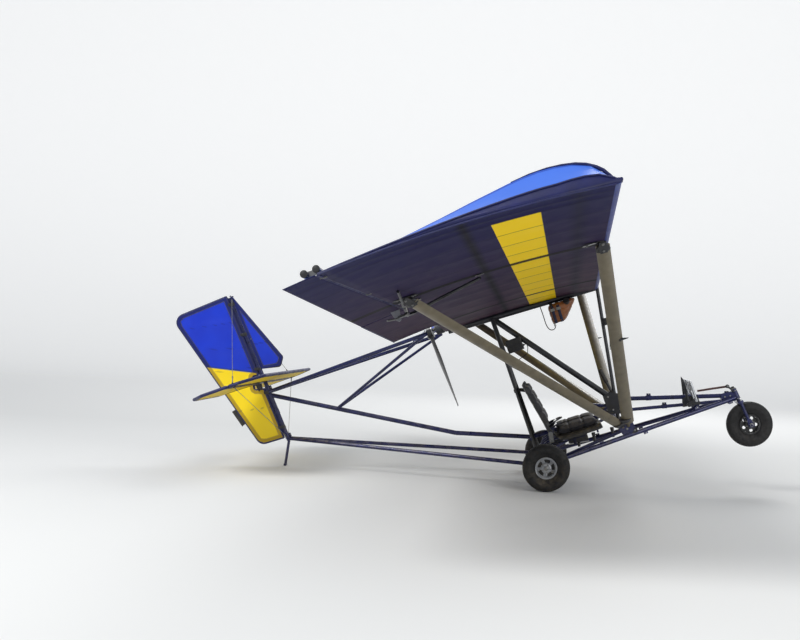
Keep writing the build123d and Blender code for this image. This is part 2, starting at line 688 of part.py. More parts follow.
# Seats: back and pan in one padded shell each
side_plane = Plane(origin=at((0, 0, 0)), x_dir=craft.x_dir, z_dir=(0, -1, 0))
SEAT_BACK_Z = 660.0
SEAT_CLEAR = 0.3
tube_lean = (down_top[0] - down_low[0]) / (down_top[2] - down_low[2])
tube_x = down_low[0] + tube_lean * (SEAT_BACK_Z - down_low[2])
seat_back_x = tube_x + DOWNTUBE_D / 2 * hypot(1, tube_lean) + SEAT_CLEAR
for name, centre in (("left", 236.0), ("right", -236.0)):
    with BuildPart() as seat:
        with BuildSketch(side_plane.offset(-centre - 205)):
            with BuildLine():
                Polyline(
                    (seat_back_x, SEAT_BACK_Z),
                    (-44, 688),
                    (96, 300),
                    (140, 262),
                    (500, 306),
                    (511.7, 240),
                    (60, 176),
                    (10, 210),
                    close=True,
                )
            make_face()
        extrude(amount=410)
    seat.part.label = f"seat_{name}"
    export_step(seat.part, f"parts/seat_{name}.step")

# Fuel tank under the root tube, and the boxes on the frame
BOXES = [
    ("fuel_tank", wing_point(0.0, 0.187, -97.9), (264.0, 210.0, 168.0), 60.0, INCIDENCE),
    ("equipment_box", (-88.0, 0.0, 1000.0), (138.0, 160.0, 104.0), 10.0, 10.0),
    ("instrument_box", (716.0, 0.0, 1065.0), (44.0, 70.0, 62.0), 6.0, 0.0),
]
for name, centre, size, fillet_r, tip in BOXES:
    t = radians(tip)
    base = Plane(
        origin=at(centre),
        x_dir=at((cos(t), 0, sin(t))) - at((0, 0, 0)),
        z_dir=at((-sin(t), 0, cos(t))) - at((0, 0, 0)),
    )
    with BuildPart() as box:
        with BuildSketch(base.offset(-size[2] / 2)):
            RectangleRounded(size[0], size[1], fillet_r)
        extrude(amount=size[2])
    box.part.label = name
    export_step(box.part, f"parts/{name}.step")

# Control stick and rudder pedals
with BuildPart() as control_stick:
    with BuildSketch(facing((664, 0, 424), (588, 0, 667))):
        Circle(12)
    extrude(amount=reach_of((664, 0, 424), (588, 0, 667)))
control_stick.part.label = "control_stick"
export_step(control_stick.part, "parts/control_stick.step")

# Rudder pedals: a cross bar with two bent hoops
PEDAL_X = 1312.0
PEDAL_LOW = 288.0
PEDAL_TOP = 446.0
PEDAL_W = 170.0
PEDAL_R = 10.0
with BuildPart() as rudder_pedals:
    with BuildSketch(Plane(origin=at((PEDAL_X, -250, PEDAL_LOW)), z_dir=(0, 1, 0))):
        Circle(PEDAL_R + 2)
    extrude(amount=500)
    for inner in (-62.0 - PEDAL_W, 62.0):
        hoop = [
            (PEDAL_X, inner, PEDAL_LOW),
            (PEDAL_X - 22, inner, PEDAL_TOP),
            (PEDAL_X - 22, inner + PEDAL_W, PEDAL_TOP),
            (PEDAL_X, inner + PEDAL_W, PEDAL_LOW),
        ]
        with BuildLine() as hoop_path:
            Polyline(*[at(point) for point in hoop])
        with BuildSketch(facing(hoop[0], hoop[1])):
            Circle(PEDAL_R)
        sweep(path=hoop_path.line, transition=Transition.RIGHT)
rudder_pedals.part.label = "rudder_pedals"
export_step(rudder_pedals.part, "parts/rudder_pedals.step")

# Exhaust: two stubs into a tuned drum beside the cylinders
with BuildPart() as exhaust:
    for x in (220, 370):
        with BuildSketch(Plane(origin=on_engine(x, 40, CRANK_Z + 130), z_dir=(0, 1, 0))):
            Circle(21)
        extrude(amount=110)
    with BuildSketch(Plane(origin=on_engine(90, 168, CRANK_Z + 130), z_dir=thrust.x_dir)):
        Circle(56)
    extrude(amount=420)
exhaust.part.label = "exhaust"
export_step(exhaust.part, "parts/exhaust.step")

# Carburettors with their air filters, on the other side
with BuildPart() as carburettors:
    for x in (220, 370):
        with BuildSketch(Plane(origin=on_engine(x, -40, CRANK_Z + 118), z_dir=(0, -1, 0))):
            Circle(24)
        extrude(amount=90)
        with BuildSketch(Plane(origin=on_engine(x, -130, CRANK_Z + 118), z_dir=(0, -1, 0))):
            Circle(44)
        extrude(amount=64)
carburettors.part.label = "carburettors"
export_step(carburettors.part, "parts/carburettors.step")
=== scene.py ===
# %% [markdown]
# # A strut-braced microlight, parked on its main wheels and tail skid
# The CAD model is a fixed frame of tubes, panels and wheels. This script gives that frame its cloth,
# paint, rubber and metal, and adds what a maker would bolt, sew and tie onto it.
# It starts by loading the imported model.

# %% The imported model
from math import atan2, cos, degrees, hypot, pi, radians, sin, sqrt, tan

import bmesh
import bpy
from mathutils import Matrix, Vector


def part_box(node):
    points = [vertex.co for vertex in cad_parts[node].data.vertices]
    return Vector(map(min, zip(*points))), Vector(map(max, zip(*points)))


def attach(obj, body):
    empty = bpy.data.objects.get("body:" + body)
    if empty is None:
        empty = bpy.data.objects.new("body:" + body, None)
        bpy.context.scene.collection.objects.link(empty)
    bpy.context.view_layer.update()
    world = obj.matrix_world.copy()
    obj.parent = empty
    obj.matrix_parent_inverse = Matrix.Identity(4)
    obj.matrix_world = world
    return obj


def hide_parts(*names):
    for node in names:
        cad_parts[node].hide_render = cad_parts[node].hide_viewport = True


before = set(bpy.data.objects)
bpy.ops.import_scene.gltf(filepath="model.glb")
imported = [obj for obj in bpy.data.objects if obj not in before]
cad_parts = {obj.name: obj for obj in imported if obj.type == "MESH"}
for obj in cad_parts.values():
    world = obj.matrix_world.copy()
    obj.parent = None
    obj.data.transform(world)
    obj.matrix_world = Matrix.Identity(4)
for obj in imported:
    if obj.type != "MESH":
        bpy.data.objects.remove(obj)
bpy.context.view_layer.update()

# %% [markdown]
# ## The craft's own axes
# The parked machine leans back on its skid, so straight tubes of the real frame are slanted in the
# scene. Working in the craft's own axes keeps the numbers those of the real drawing: x towards the
# nose, y to port, z up in level flight, all in metres from the middle of the main axle.

# %% Craft axes
def outboard(y):
    return PORT * (1 if y > 0 else -1)


def middle(node):
    low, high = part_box(node)
    return (low + high) / 2


AXLE = middle("axle")
NOSE_AXLE = middle("rim_nose")
FORWARD = (NOSE_AXLE - AXLE).normalized()
PORT = Vector((0, 1, 0))
UP = FORWARD.cross(PORT)


def craft(x, y, z):
    return AXLE + FORWARD * x + PORT * y + UP * z


print("nose-up attitude", round(degrees(atan2(FORWARD.z, FORWARD.x)), 2), "degrees")

# %% [markdown]
# ## Camera
# The photograph is taken from head height, a wing's length away on the starboard side, with a
# slightly tilted horizon. Its place, heading and tilt were fitted to the wheels, the strut feet, the
# wing tip and the horizon.

# %% Camera
CAMERA_AT = (0.6453, -10.825, 1.234)
HEADING = -0.1142
LOOK_UP = 0.0081
ROLL = 0.0449
FOCAL_PIXELS = 1252.0
PHOTO_WIDTH = 800
SENSOR = 36.0


def turned(a, b, angle):
    return a * cos(angle) + b * sin(angle), b * cos(angle) - a * sin(angle)


sight = Vector((sin(HEADING), cos(HEADING), 0))
right = Vector((cos(HEADING), -sin(HEADING), 0))
overhead = Vector((0, 0, 1))
sight, overhead = turned(sight, overhead, LOOK_UP)
right, overhead = turned(right, overhead, ROLL)

camera_data = bpy.data.cameras.new("Camera")
camera_data.sensor_width = SENSOR
camera_data.lens = FOCAL_PIXELS * SENSOR / PHOTO_WIDTH
camera_data.clip_end = 200
camera = bpy.data.objects.new("Camera", camera_data)
camera_axes = Matrix((right, overhead, -sight)).transposed().to_4x4()
camera.matrix_world = Matrix.Translation(CAMERA_AT) @ camera_axes
bpy.context.scene.collection.objects.link(camera)
bpy.context.scene.camera = camera
print("lens", round(camera_data.lens, 2), "mm")

# %% [markdown]
# ## Gathering a mesh
# Most pieces here are skins through rows of points: a tube is a row of rings, a lathe-turned part is
# a row of circles, a cloth panel is a row of section lines. One small class gathers them, so that
# many bolts or ribs become one joined mesh.

# %% Small helpers
def modify(piece, name, kind, **settings):
    made = piece.modifiers.new(name, kind)
    for key, value in settings.items():
        setattr(made, key, value)


def rectangle(half_x, half_y):
    return [(-half_x, -half_y), (half_x, -half_y), (half_x, half_y), (-half_x, half_y)]


def around(count, first, across, up):
    # Directions spread evenly about a centre, the first one a share of a step on
    turns = [2 * pi * (k + first) / count for k in range(count)]
    return [across * cos(a) + up * sin(a) for a in turns]


print("corners of a rectangle", rectangle(0.2, 0.1))

# %% [markdown]
# A shape gathers points and faces from tubes, plates, turned profiles and skins, each with the number
# of its finish. It becomes one named piece at the end, on the body that it moves with.

# %% Shape maker
class Shape:
    def __init__(self):
        self.points = []
        self.faces = []
        self.parts = []
        self.uvs = {}

    def skin(self, rows, closed=False, caps=False, part=0, uv=None):
        first = len(self.points)
        count = len(rows[0])
        for row in rows:
            self.points.extend(Vector(p) for p in row)
        for i in range(len(rows) - 1):
            for j in range(count if closed else count - 1):
                k = (j + 1) % count
                a, b = first + i * count, first + (i + 1) * count
                self.faces.append((a + j, a + k, b + k, b + j))
                self.parts.append(part)
                if uv:
                    self.uvs[len(self.faces) - 1] = (uv(i, j), uv(i, j + 1), uv(i + 1, j + 1), uv(i + 1, j))
        if caps:
            self.faces.append(tuple(reversed(range(first, first + count))))
            self.faces.append(tuple(range(len(self.points) - count, len(self.points))))
            self.parts.extend((part, part))

    def face(self, loop, part):
        first = len(self.points)
        self.points.extend(loop)
        self.faces.append(tuple(range(first, first + len(loop))))
        self.parts.append(part)

    def tube(self, path, radius, sides=16, part=0, caps=True):
        path = [Vector(p) for p in path]
        radii = radius if isinstance(radius, (list, tuple)) else [radius] * len(path)
        tangents = []
        for i in range(len(path)):
            ahead = path[min(i + 1, len(path) - 1)] - path[i]
            behind = path[i] - path[max(i - 1, 0)]
            tangents.append((ahead.normalized() + behind.normalized()).normalized())
        side = tangents[0].orthogonal().normalized()
        rows = []
        for point, tangent, r in zip(path, tangents, radii):
            side = (side - tangent * side.dot(tangent)).normalized()
            other = tangent.cross(side)
            rows.append([
                point + side * (r * cos(2 * pi * k / sides)) + other * (r * sin(2 * pi * k / sides))
                for k in range(sides)
            ])
        self.skin(rows, closed=True, caps=caps, part=part)

    def lathe(self, origin, axis, profile, sides=24, part=0, caps=True, turn=0.0):
        origin, axis = Vector(origin), Vector(axis).normalized()
        side = axis.orthogonal().normalized()
        other = axis.cross(side)
        rows = []
        for along, r in profile:
            rows.append([
                origin + axis * along
                + side * (r * cos(turn + 2 * pi * k / sides))
                + other * (r * sin(turn + 2 * pi * k / sides))
                for k in range(sides)
            ])
        self.skin(rows, closed=True, caps=caps, part=part)

    def plate(self, outline, origin, x_dir, y_dir, thickness, part=0):
        origin, x_dir, y_dir = Vector(origin), Vector(x_dir).normalized(), Vector(y_dir).normalized()
        normal = x_dir.cross(y_dir)
        rows = [
            [origin + x_dir * x + y_dir * y + normal * h for x, y in outline]
            for h in (-thickness / 2, thickness / 2)
        ]
        self.skin(rows, closed=True, caps=True, part=part)

    def bolt(self, origin, axis, size=0.008, part=0):
        # A washer, a six-sided head and its rounded crown
        s = size
        self.lathe(origin, axis, [(0, s * 0.95), (s * 0.18, s * 0.95)], 16, part)
        head = [(s * 0.18, s * 0.82), (s * 0.62, s * 0.82), (s * 0.72, s * 0.62)]
        self.lathe(origin, axis, head, 6, part)

    def make(self, name, body, materials, crease=35.0, bevel=None):
        mesh = bpy.data.meshes.new(name)
        mesh.from_pydata([tuple(p) for p in self.points], [], self.faces)
        for material in materials:
            mesh.materials.append(material)
        mesh.polygons.foreach_set("material_index", self.parts)
        if self.uvs:
            layer = mesh.uv_layers.new(name="cloth")
            for index, corners in self.uvs.items():
                for loop, corner in zip(mesh.polygons[index].loop_indices, corners):
                    layer.data[loop].uv = corner
        mesh.validate()
        mesh.shade_smooth()
        mesh.set_sharp_from_angle(angle=radians(crease))
        piece = bpy.data.objects.new(name, mesh)
        bpy.context.scene.collection.objects.link(piece)
        if bevel:
            modify(piece, "Rounded edges", "BEVEL", width=bevel, segments=2, limit_method="ANGLE",
                angle_limit=radians(40))
        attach(piece, body)
        print(name, len(mesh.polygons), "faces")
        return piece


# %% [markdown]
# ## Finishes
# A finish is more than a colour. Noise at the right scale breaks up roughness, sand dust gathers near
# the ground and on upward faces, and cloth shows its weave. What several finishes share is a node
# group, which puts out masks and heights only; each material keeps its own shader.

# %% Node helpers
def add_node(tree, kind, inputs=None, **settings):
    made = tree.nodes.new(kind)
    for key, value in settings.items():
        setattr(made, key, value)
    for key, value in (inputs or {}).items():
        if isinstance(value, bpy.types.NodeSocket):
            tree.links.new(value, made.inputs[key])
        else:
            made.inputs[key].default_value = value
    return made


def new_group(name, inputs, outputs):
    group = bpy.data.node_groups.new(name, "ShaderNodeTree")
    for label, kind, default in inputs:
        socket = group.interface.new_socket(label, in_out="INPUT", socket_type=kind)
        if default is not None:
            socket.default_value = default
    for label, kind in outputs:
        group.interface.new_socket(label, in_out="OUTPUT", socket_type=kind)
    return group, group.nodes.new("NodeGroupInput"), group.nodes.new("NodeGroupOutput")


def use_group(tree, group, inputs=None):
    return add_node(tree, "ShaderNodeGroup", inputs, node_tree=group)


def maths(tree, operation, a, b=0.0, clamp=False):
    return add_node(tree, "ShaderNodeMath", {0: a, 1: b}, operation=operation, use_clamp=clamp).outputs[0]


def blend_colour(tree, factor, a, b):
    return add_node(tree, "ShaderNodeMix", {0: factor, 6: a, 7: b}, data_type="RGBA").outputs[2]


def new_material(name):
    material = bpy.data.materials.new(name)
    material.use_nodes = True
    return material, material.node_tree, material.node_tree.nodes["Principled BSDF"]


def colour(r, g, b):
    # A colour picked on screen, 0 to 255, as the shader's linear light
    def linear(c):
        c = c / 255
        return c / 12.92 if c <= 0.04045 else ((c + 0.055) / 1.055) ** 2.4
    return (linear(r), linear(g), linear(b), 1.0)


print("mid grey is", round(colour(128, 128, 128)[0], 3), "in linear light")


# %% [markdown]
# ### Three effects that many finishes share
# Mottle turns noise into a value between two limits. Sand dust is a mask: strong low down and on faces
# that look up. Weave is a fine height from two crossed waves. Each is a group, so a later change of
# the effect reaches every material that uses it.

# %% Shared effects
FLOAT, VECTOR = "NodeSocketFloat", "NodeSocketVector"

mottle, m_in, m_out = new_group(
    "Mottle",
    [("Vector", VECTOR, None), ("Scale", FLOAT, 8.0), ("Low", FLOAT, 0.3), ("High", FLOAT, 0.6)],
    [("Value", FLOAT)],
)
m_noise = add_node(mottle, "ShaderNodeTexNoise",
    {"Vector": m_in.outputs["Vector"], "Scale": m_in.outputs["Scale"], "Detail": 5.0})
m_range = add_node(mottle, "ShaderNodeMapRange", {
    "Value": m_noise.outputs["Fac"], "From Min": 0.3, "From Max": 0.7,
    "To Min": m_in.outputs["Low"], "To Max": m_in.outputs["High"],
})
mottle.links.new(m_range.outputs[0], m_out.inputs["Value"])

dust, d_in, d_out = new_group(
    "Sand dust",
    [("Vector", VECTOR, None), ("Reach", FLOAT, 0.5), ("Amount", FLOAT, 0.5)],
    [("Mask", FLOAT)],
)
d_place = add_node(dust, "ShaderNodeSeparateXYZ", {0: d_in.outputs["Vector"]})
d_low = maths(dust, "SUBTRACT", 1.0, maths(dust, "DIVIDE", d_place.outputs["Z"], d_in.outputs["Reach"]), clamp=True)
d_normal = add_node(dust, "ShaderNodeNewGeometry")
d_facing = add_node(dust, "ShaderNodeSeparateXYZ", {0: d_normal.outputs["Normal"]})
d_up = add_node(dust, "ShaderNodeMapRange", {"Value": d_facing.outputs["Z"], "From Min": -0.2, "From Max": 0.9,
    "To Min": 0.25, "To Max": 1.0})
d_noise = add_node(dust, "ShaderNodeTexNoise",
    {"Vector": d_in.outputs["Vector"], "Scale": 22.0, "Detail": 6.0, "Roughness": 0.65})
d_patch = add_node(dust, "ShaderNodeMapRange", {"Value": d_noise.outputs["Fac"], "From Min": 0.38, "From Max": 0.68})
d_mask = maths(dust, "MULTIPLY", maths(dust, "MULTIPLY", d_low, d_up.outputs[0]), d_patch.outputs[0])
dust.links.new(maths(dust, "MULTIPLY", d_mask, d_in.outputs["Amount"], clamp=True), d_out.inputs["Mask"])

weave, w_in, w_out = new_group(
    "Weave",
    [("Vector", VECTOR, None), ("Threads", FLOAT, 400.0)],
    [("Height", FLOAT)],
)
w_place = add_node(weave, "ShaderNodeVectorMath", {0: w_in.outputs["Vector"], "Scale": w_in.outputs["Threads"]},
    operation="SCALE")
w_axes = add_node(weave, "ShaderNodeSeparateXYZ", {0: w_place.outputs[0]})
w_a = maths(weave, "SINE", w_axes.outputs["X"])
w_b = maths(weave, "SINE", w_axes.outputs["Y"])
weave.links.new(maths(weave, "MULTIPLY", w_a, w_b), w_out.inputs["Height"])
print("groups", [g.name for g in bpy.data.node_groups])

# %% [markdown]
# ### Painted, cast and moulded finishes
# One recipe serves the tubes, fittings and plastics: a base colour that drifts a little, roughness
# that varies in patches, a fine bump, and sand dust on top. Each finish gives the recipe its own
# values, set on the shader's own sockets.

# %% Plain finishes
SAND = colour(178, 160, 132)


def finish(name, base, other, rough, metal=0.0, scale=14.0, bump=0.1, coat=0.0, grain=60.0, dusty=0.35, reach=0.9):
    material, tree, shader = new_material(name)
    place = add_node(tree, "ShaderNodeTexCoord").outputs["Object"]
    drift = use_group(tree, mottle, {"Vector": place, "Scale": scale, "Low": 0.0, "High": 1.0}).outputs[0]
    paint = blend_colour(tree, drift, base, other)
    mask = use_group(tree, dust, {"Vector": place, "Reach": reach, "Amount": dusty}).outputs[0]
    tree.links.new(blend_colour(tree, mask, paint, SAND), shader.inputs["Base Color"])
    patch = use_group(tree, mottle, {"Vector": place, "Scale": scale * 1.7, "Low": rough[0],
        "High": rough[1]}).outputs[0]
    tree.links.new(maths(tree, "ADD", patch, maths(tree, "MULTIPLY", mask, 0.4), clamp=True),
        shader.inputs["Roughness"])
    if metal:
        tree.links.new(maths(tree, "SUBTRACT", metal, mask, clamp=True), shader.inputs["Metallic"])
    shader.inputs["Coat Weight"].default_value = coat
    shader.inputs["Coat Roughness"].default_value = 0.12
    fine = add_node(tree, "ShaderNodeTexNoise", {"Vector": place, "Scale": grain, "Detail": 6.0, "Roughness": 0.6})
    rise = add_node(tree, "ShaderNodeBump", {"Height": fine.outputs["Fac"], "Strength": bump, "Distance": 0.002})
    tree.links.new(rise.outputs["Normal"], shader.inputs["Normal"])
    return material


tube_blue = finish("Tube blue", colour(10, 17, 58), colour(16, 27, 86), (0.22, 0.42), metal=0.35, coat=0.3)
tube_black = finish("Tube black", colour(16, 17, 22), colour(28, 30, 38), (0.3, 0.5), coat=0.2)
strut_paint = finish("Strut fairing", colour(112, 103, 82), colour(96, 88, 70), (0.34, 0.5), coat=0.25, grain=30)
steel = finish("Plated steel", colour(150, 150, 148), colour(112, 112, 112), (0.25, 0.5), metal=1.0, grain=200)
bare_alloy = finish("Bare aluminium", colour(196, 198, 200), colour(164, 166, 170), (0.28, 0.46), metal=1.0,
    grain=240)
cast_alloy = finish("Cast alloy", colour(172, 174, 178), colour(140, 142, 146), (0.36, 0.6), metal=1.0, grain=300,
    bump=0.3)
engine_dark = finish("Engine casting", colour(52, 54, 58), colour(78, 80, 84), (0.4, 0.65), metal=0.8, grain=260,
    bump=0.3, reach=2.5, dusty=0.1)
exhaust_steel = finish("Exhaust steel", colour(96, 78, 66), colour(64, 56, 54), (0.4, 0.75), metal=0.8, reach=2.5,
    dusty=0.1)
blade_black = finish("Blade composite", colour(18, 18, 20), colour(30, 30, 32), (0.25, 0.4), coat=0.35, dusty=0.1)
plastic_black = finish("Moulded plastic", colour(24, 24, 26), colour(36, 36, 38), (0.42, 0.62), grain=350, bump=0.25)
seat_cloth_plain = finish("Cushion cloth", colour(26, 27, 33), colour(38, 39, 46), (0.6, 0.8), grain=420, bump=0.35)

NODE_FINISH = {
    tube_blue: ("lower_frame_left", "lower_frame_right", "nose_tube_upper", "nose_tube_lower", "upper_boom_left",
                "upper_boom_right", "lower_boom_left", "lower_boom_right", "boom_diagonal_left", "boom_diagonal_right",
                "keel_front", "keel_rear", "seat_brace", "foot_cross_tube", "foot_brace_left", "foot_brace_right",
                "seat_keel", "seat_front_tube", "seat_cross_tube", "axle", "tail_post", "nose_fork", "steering_head"),
    tube_black: ("front_downtube", "front_tube", "rear_downtube_left", "rear_downtube_right", "root_tube",
                 "control_stick", "engine_mount"),
    strut_paint: ("front_strut_left", "front_strut_right", "rear_strut_left", "rear_strut_right"),
    bare_alloy: ("rudder_pedals",),
    cast_alloy: ("rim_left", "rim_right"),
    engine_dark: ("crankcase", "cylinders", "reduction_drive"),
    exhaust_steel: ("exhaust",),
    blade_black: ("propeller", "rim_nose"),
    plastic_black: ("carburettors", "equipment_box", "instrument_box"),
}
print("frame nodes with a finish", sum(len(names) for names in NODE_FINISH.values()))
for material, names in NODE_FINISH.items():
    for name in names:
        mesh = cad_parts[name].data
        mesh.materials.clear()
        mesh.materials.append(material)

# %% [markdown]
# ## The wing's own axes
# Everything on the wing is easiest to place by distance aft along the chord, distance out along the
# span, and height over the chord plane. The panel is rigged nose-up to the frame, raised towards the
# tip and swept back a hair, so its axes are worked out once and mirrored for the other side.

# %% Wing axes and section
CHORD = 1.725
INCIDENCE, DIHEDRAL, SWEEP = radians(6.9), radians(4.1), radians(0.37)
ROOT_OUT = 0.027
SPAN = (4.768 - ROOT_OUT) / cos(DIHEDRAL)
ROOT = craft(0.693 - ROOT_OUT * tan(SWEEP), ROOT_OUT, 1.356 + ROOT_OUT * tan(DIHEDRAL))
OUT = (FORWARD * -sin(SWEEP) + PORT * cos(DIHEDRAL) + UP * sin(DIHEDRAL)).normalized()
AFT = -(FORWARD * cos(INCIDENCE) + UP * sin(INCIDENCE))
AFT = (AFT - OUT * AFT.dot(OUT)).normalized()
RISE = OUT.cross(AFT)
SIDES = (("left", 1), ("right", -1))

NOSE = 0.027
# Aft of the edge and height, full at the nose and thin behind the rear spar
TOP_LINE = [(0.016, 0.051), (0.06, 0.118), (0.165, 0.178), (0.36, 0.203), (0.65, 0.166), (0.897, 0.124),
    (1.328, 0.058), (CHORD, 0.003)]
UNDERSIDE = ((CHORD, -0.003), (0.45 * CHORD, 0.024 * CHORD), (NOSE, -NOSE * 0.2))
NOSE_ARC = (UNDERSIDE[2], (-NOSE * 0.5, NOSE * 0.7), TOP_LINE[0])


def mirrored(point, side):
    return Vector((point[0], point[1] * side, point[2]))


def wing(side, x, y, h=0.0):
    return mirrored(ROOT + AFT * x + OUT * y + RISE * h, side)


def circle_of(three):
    (x1, y1), (x2, y2), (x3, y3) = three
    d = 2 * (x1 * (y2 - y3) + x2 * (y3 - y1) + x3 * (y1 - y2))
    s1, s2, s3 = x1 * x1 + y1 * y1, x2 * x2 + y2 * y2, x3 * x3 + y3 * y3
    cx = (s1 * (y2 - y3) + s2 * (y3 - y1) + s3 * (y1 - y2)) / d
    cy = (s1 * (x3 - x2) + s2 * (x1 - x3) + s3 * (x2 - x1)) / d
    return cx, cy, hypot(x1 - cx, y1 - cy)


def arc_height(three, x):
    cx, cy, r = circle_of(three)
    return cy + (1 if three[1][1] > cy else -1) * sqrt(r * r - (x - cx) ** 2)


def top_of(x):
    # A smooth line through the section's points
    last = len(TOP_LINE) - 1
    k = max(i for i in range(last) if i == 0 or x >= TOP_LINE[i][0])
    (x1, y1), (x2, y2) = TOP_LINE[k], TOP_LINE[k + 1]

    def slope(i):
        a, b = TOP_LINE[max(i - 1, 0)], TOP_LINE[min(i + 1, last)]
        return (b[1] - a[1]) / (b[0] - a[0])

    t, w = (x - x1) / (x2 - x1), x2 - x1
    bend = (2 * t ** 3 - 3 * t * t + 1) * y1 + (3 * t * t - 2 * t ** 3) * y2
    return bend + w * (t ** 3 - 2 * t * t + t) * slope(k) + w * (t ** 3 - t * t) * slope(k + 1)


def under_of(x):
    return arc_height(UNDERSIDE, max(x, NOSE))


def steps(a, b, count):
    return [a + (b - a) * i / count for i in range(count + 1)]


print("span each side", round(SPAN, 3), "m, depth", round(top_of(0.3) - under_of(0.3), 3), "m")

# %% [markdown]
# ## Wing cloth
# The cover is cloth, shrunk over ribs about a forearm apart. Each rib stands as a faint ridge and the
# cloth between dips a few millimetres, which is what catches the light on a real wing. The skin is
# built as rows of section points, one row every few centimetres of span, and the dip is a sine
# between ribs. Distances to the ribs are stored on the mesh, so the material can draw their tapes.

# %% Ribs and outline
RIBS = [0.0, 0.36, 0.738, 1.09, 1.51, 1.93, 2.35, 2.77, 3.19, 3.61, 4.03, 4.45, SPAN - 0.16]
TIP_SLOPE = 0.16
TIP_SHARE = 0.34
NOTCH_OUT = 0.738
NOTCH_X = 0.783 * CHORD
STEP_OUT = 2.344
DIP_TOP, DIP_UNDER = 0.0055, 0.0045
HINGE_SLOT = 0.014
AILERON_X = (0.82 * CHORD, 0.90 * CHORD)
AILERON_Y = (2.358, 4.748)


def slot_line(y):
    # Where the cover ends ahead of the aileron
    ends = AILERON_X[0] - HINGE_SLOT, AILERON_X[1] - HINGE_SLOT
    return ends[0] + (ends[1] - ends[0]) * (y - STEP_OUT) / (4.828 - STEP_OUT)


def share_at(x, y):
    # The height that is left over the last bay's slope, a little more at the nose
    t = max(0.0, (y - (SPAN - TIP_SLOPE)) / TIP_SLOPE)
    return 1 - (1 - TIP_SHARE - 0.16 * max(0.0, 1 - x / 0.3)) * t


def rib_distance(y):
    return min(abs(y - r) for r in RIBS)


def dip_at(x, y, x_end=CHORD):
    for a, b in zip(RIBS, RIBS[1:] + [SPAN]):
        if a <= y < b:
            along = sin(pi * (y - a) / (b - a)) ** 0.8
            return along * min(1.0, max(0.0, x - 0.02) / 0.12, max(0.0, x_end - x) / 0.10)
    return 0.0


def skin_point(side, x, y, upper, x_end=CHORD, front=0.0):
    share, low = share_at(x, y), under_of(x)
    dip = dip_at(x, y, x_end) * min(1.0, max(0.0, x - front) / 0.08 if front else 1.0)
    thick = (top_of(max(x, TOP_LINE[0][0])) - low) * share
    dip *= min(1.0, max(0.0, thick - 0.002) / 0.04)
    return wing(side, x, y, low + thick - DIP_TOP * dip if upper else low + DIP_UNDER * dip)


def nose_points(side, y):
    cx, cy, r = circle_of(NOSE_ARC)
    a, b = (atan2(p[1] - cy, p[0] - cx) for p in (NOSE_ARC[0], NOSE_ARC[2]))
    share, made = share_at(0.0, y), []
    for angle in steps(a % (2 * pi), b % (2 * pi), 9):
        x, h = cx + r * cos(angle), cy + r * sin(angle)
        low = under_of(x)
        made.append(wing(side, x if x > 0 else x * share, y, low + (h - low) * share))
    return made


def span_rows(low, high):
    rows = [low]
    for a, b in zip(RIBS, RIBS[1:] + [SPAN]):
        rows += [y for y in steps(a, b, 8) if low < y < high]
    rows.append(high)
    kept = [low]
    for y in sorted(rows):
        if y - kept[-1] > 1e-4:
            kept.append(y)
    return kept


print(len(span_rows(0, SPAN)), "rows of points along each half wing")

# %% [markdown]
# The material reads the place on the cloth, in metres aft and out, from a UV map. The underside is
# deep blue in painted shade under a soft gloss, with a brownish painted reflection of the ground that
# fades towards the tip, and carries a yellow band; the top is a clearer royal blue with a painted
# highlight on the tip's slope. Both show the weave and the tape over each rib.

# %% Cloth materials
TAPE = 0.016
BAND_IN, BAND_OUT = (0.208 * CHORD, 0.342 * CHORD), (0.230 * CHORD, 0.381 * CHORD)
BAND_END = 4.45


def between(tree, value, low, high):
    over = maths(tree, "GREATER_THAN", value, low)
    return maths(tree, "MULTIPLY", over, maths(tree, "LESS_THAN", value, high))


def near(tree, value, middle_at, half):
    # 1 on the line, falling to 0 at half its width on each side
    off = maths(tree, "ABSOLUTE", maths(tree, "SUBTRACT", value, middle_at))
    return maths(tree, "SUBTRACT", 1.0, maths(tree, "DIVIDE", off, half), clamp=True)


def straight(tree, along, a, b, length):
    # A value that runs from a to b over a length
    return maths(tree, "ADD", a, maths(tree, "MULTIPLY", along, (b - a) / length))


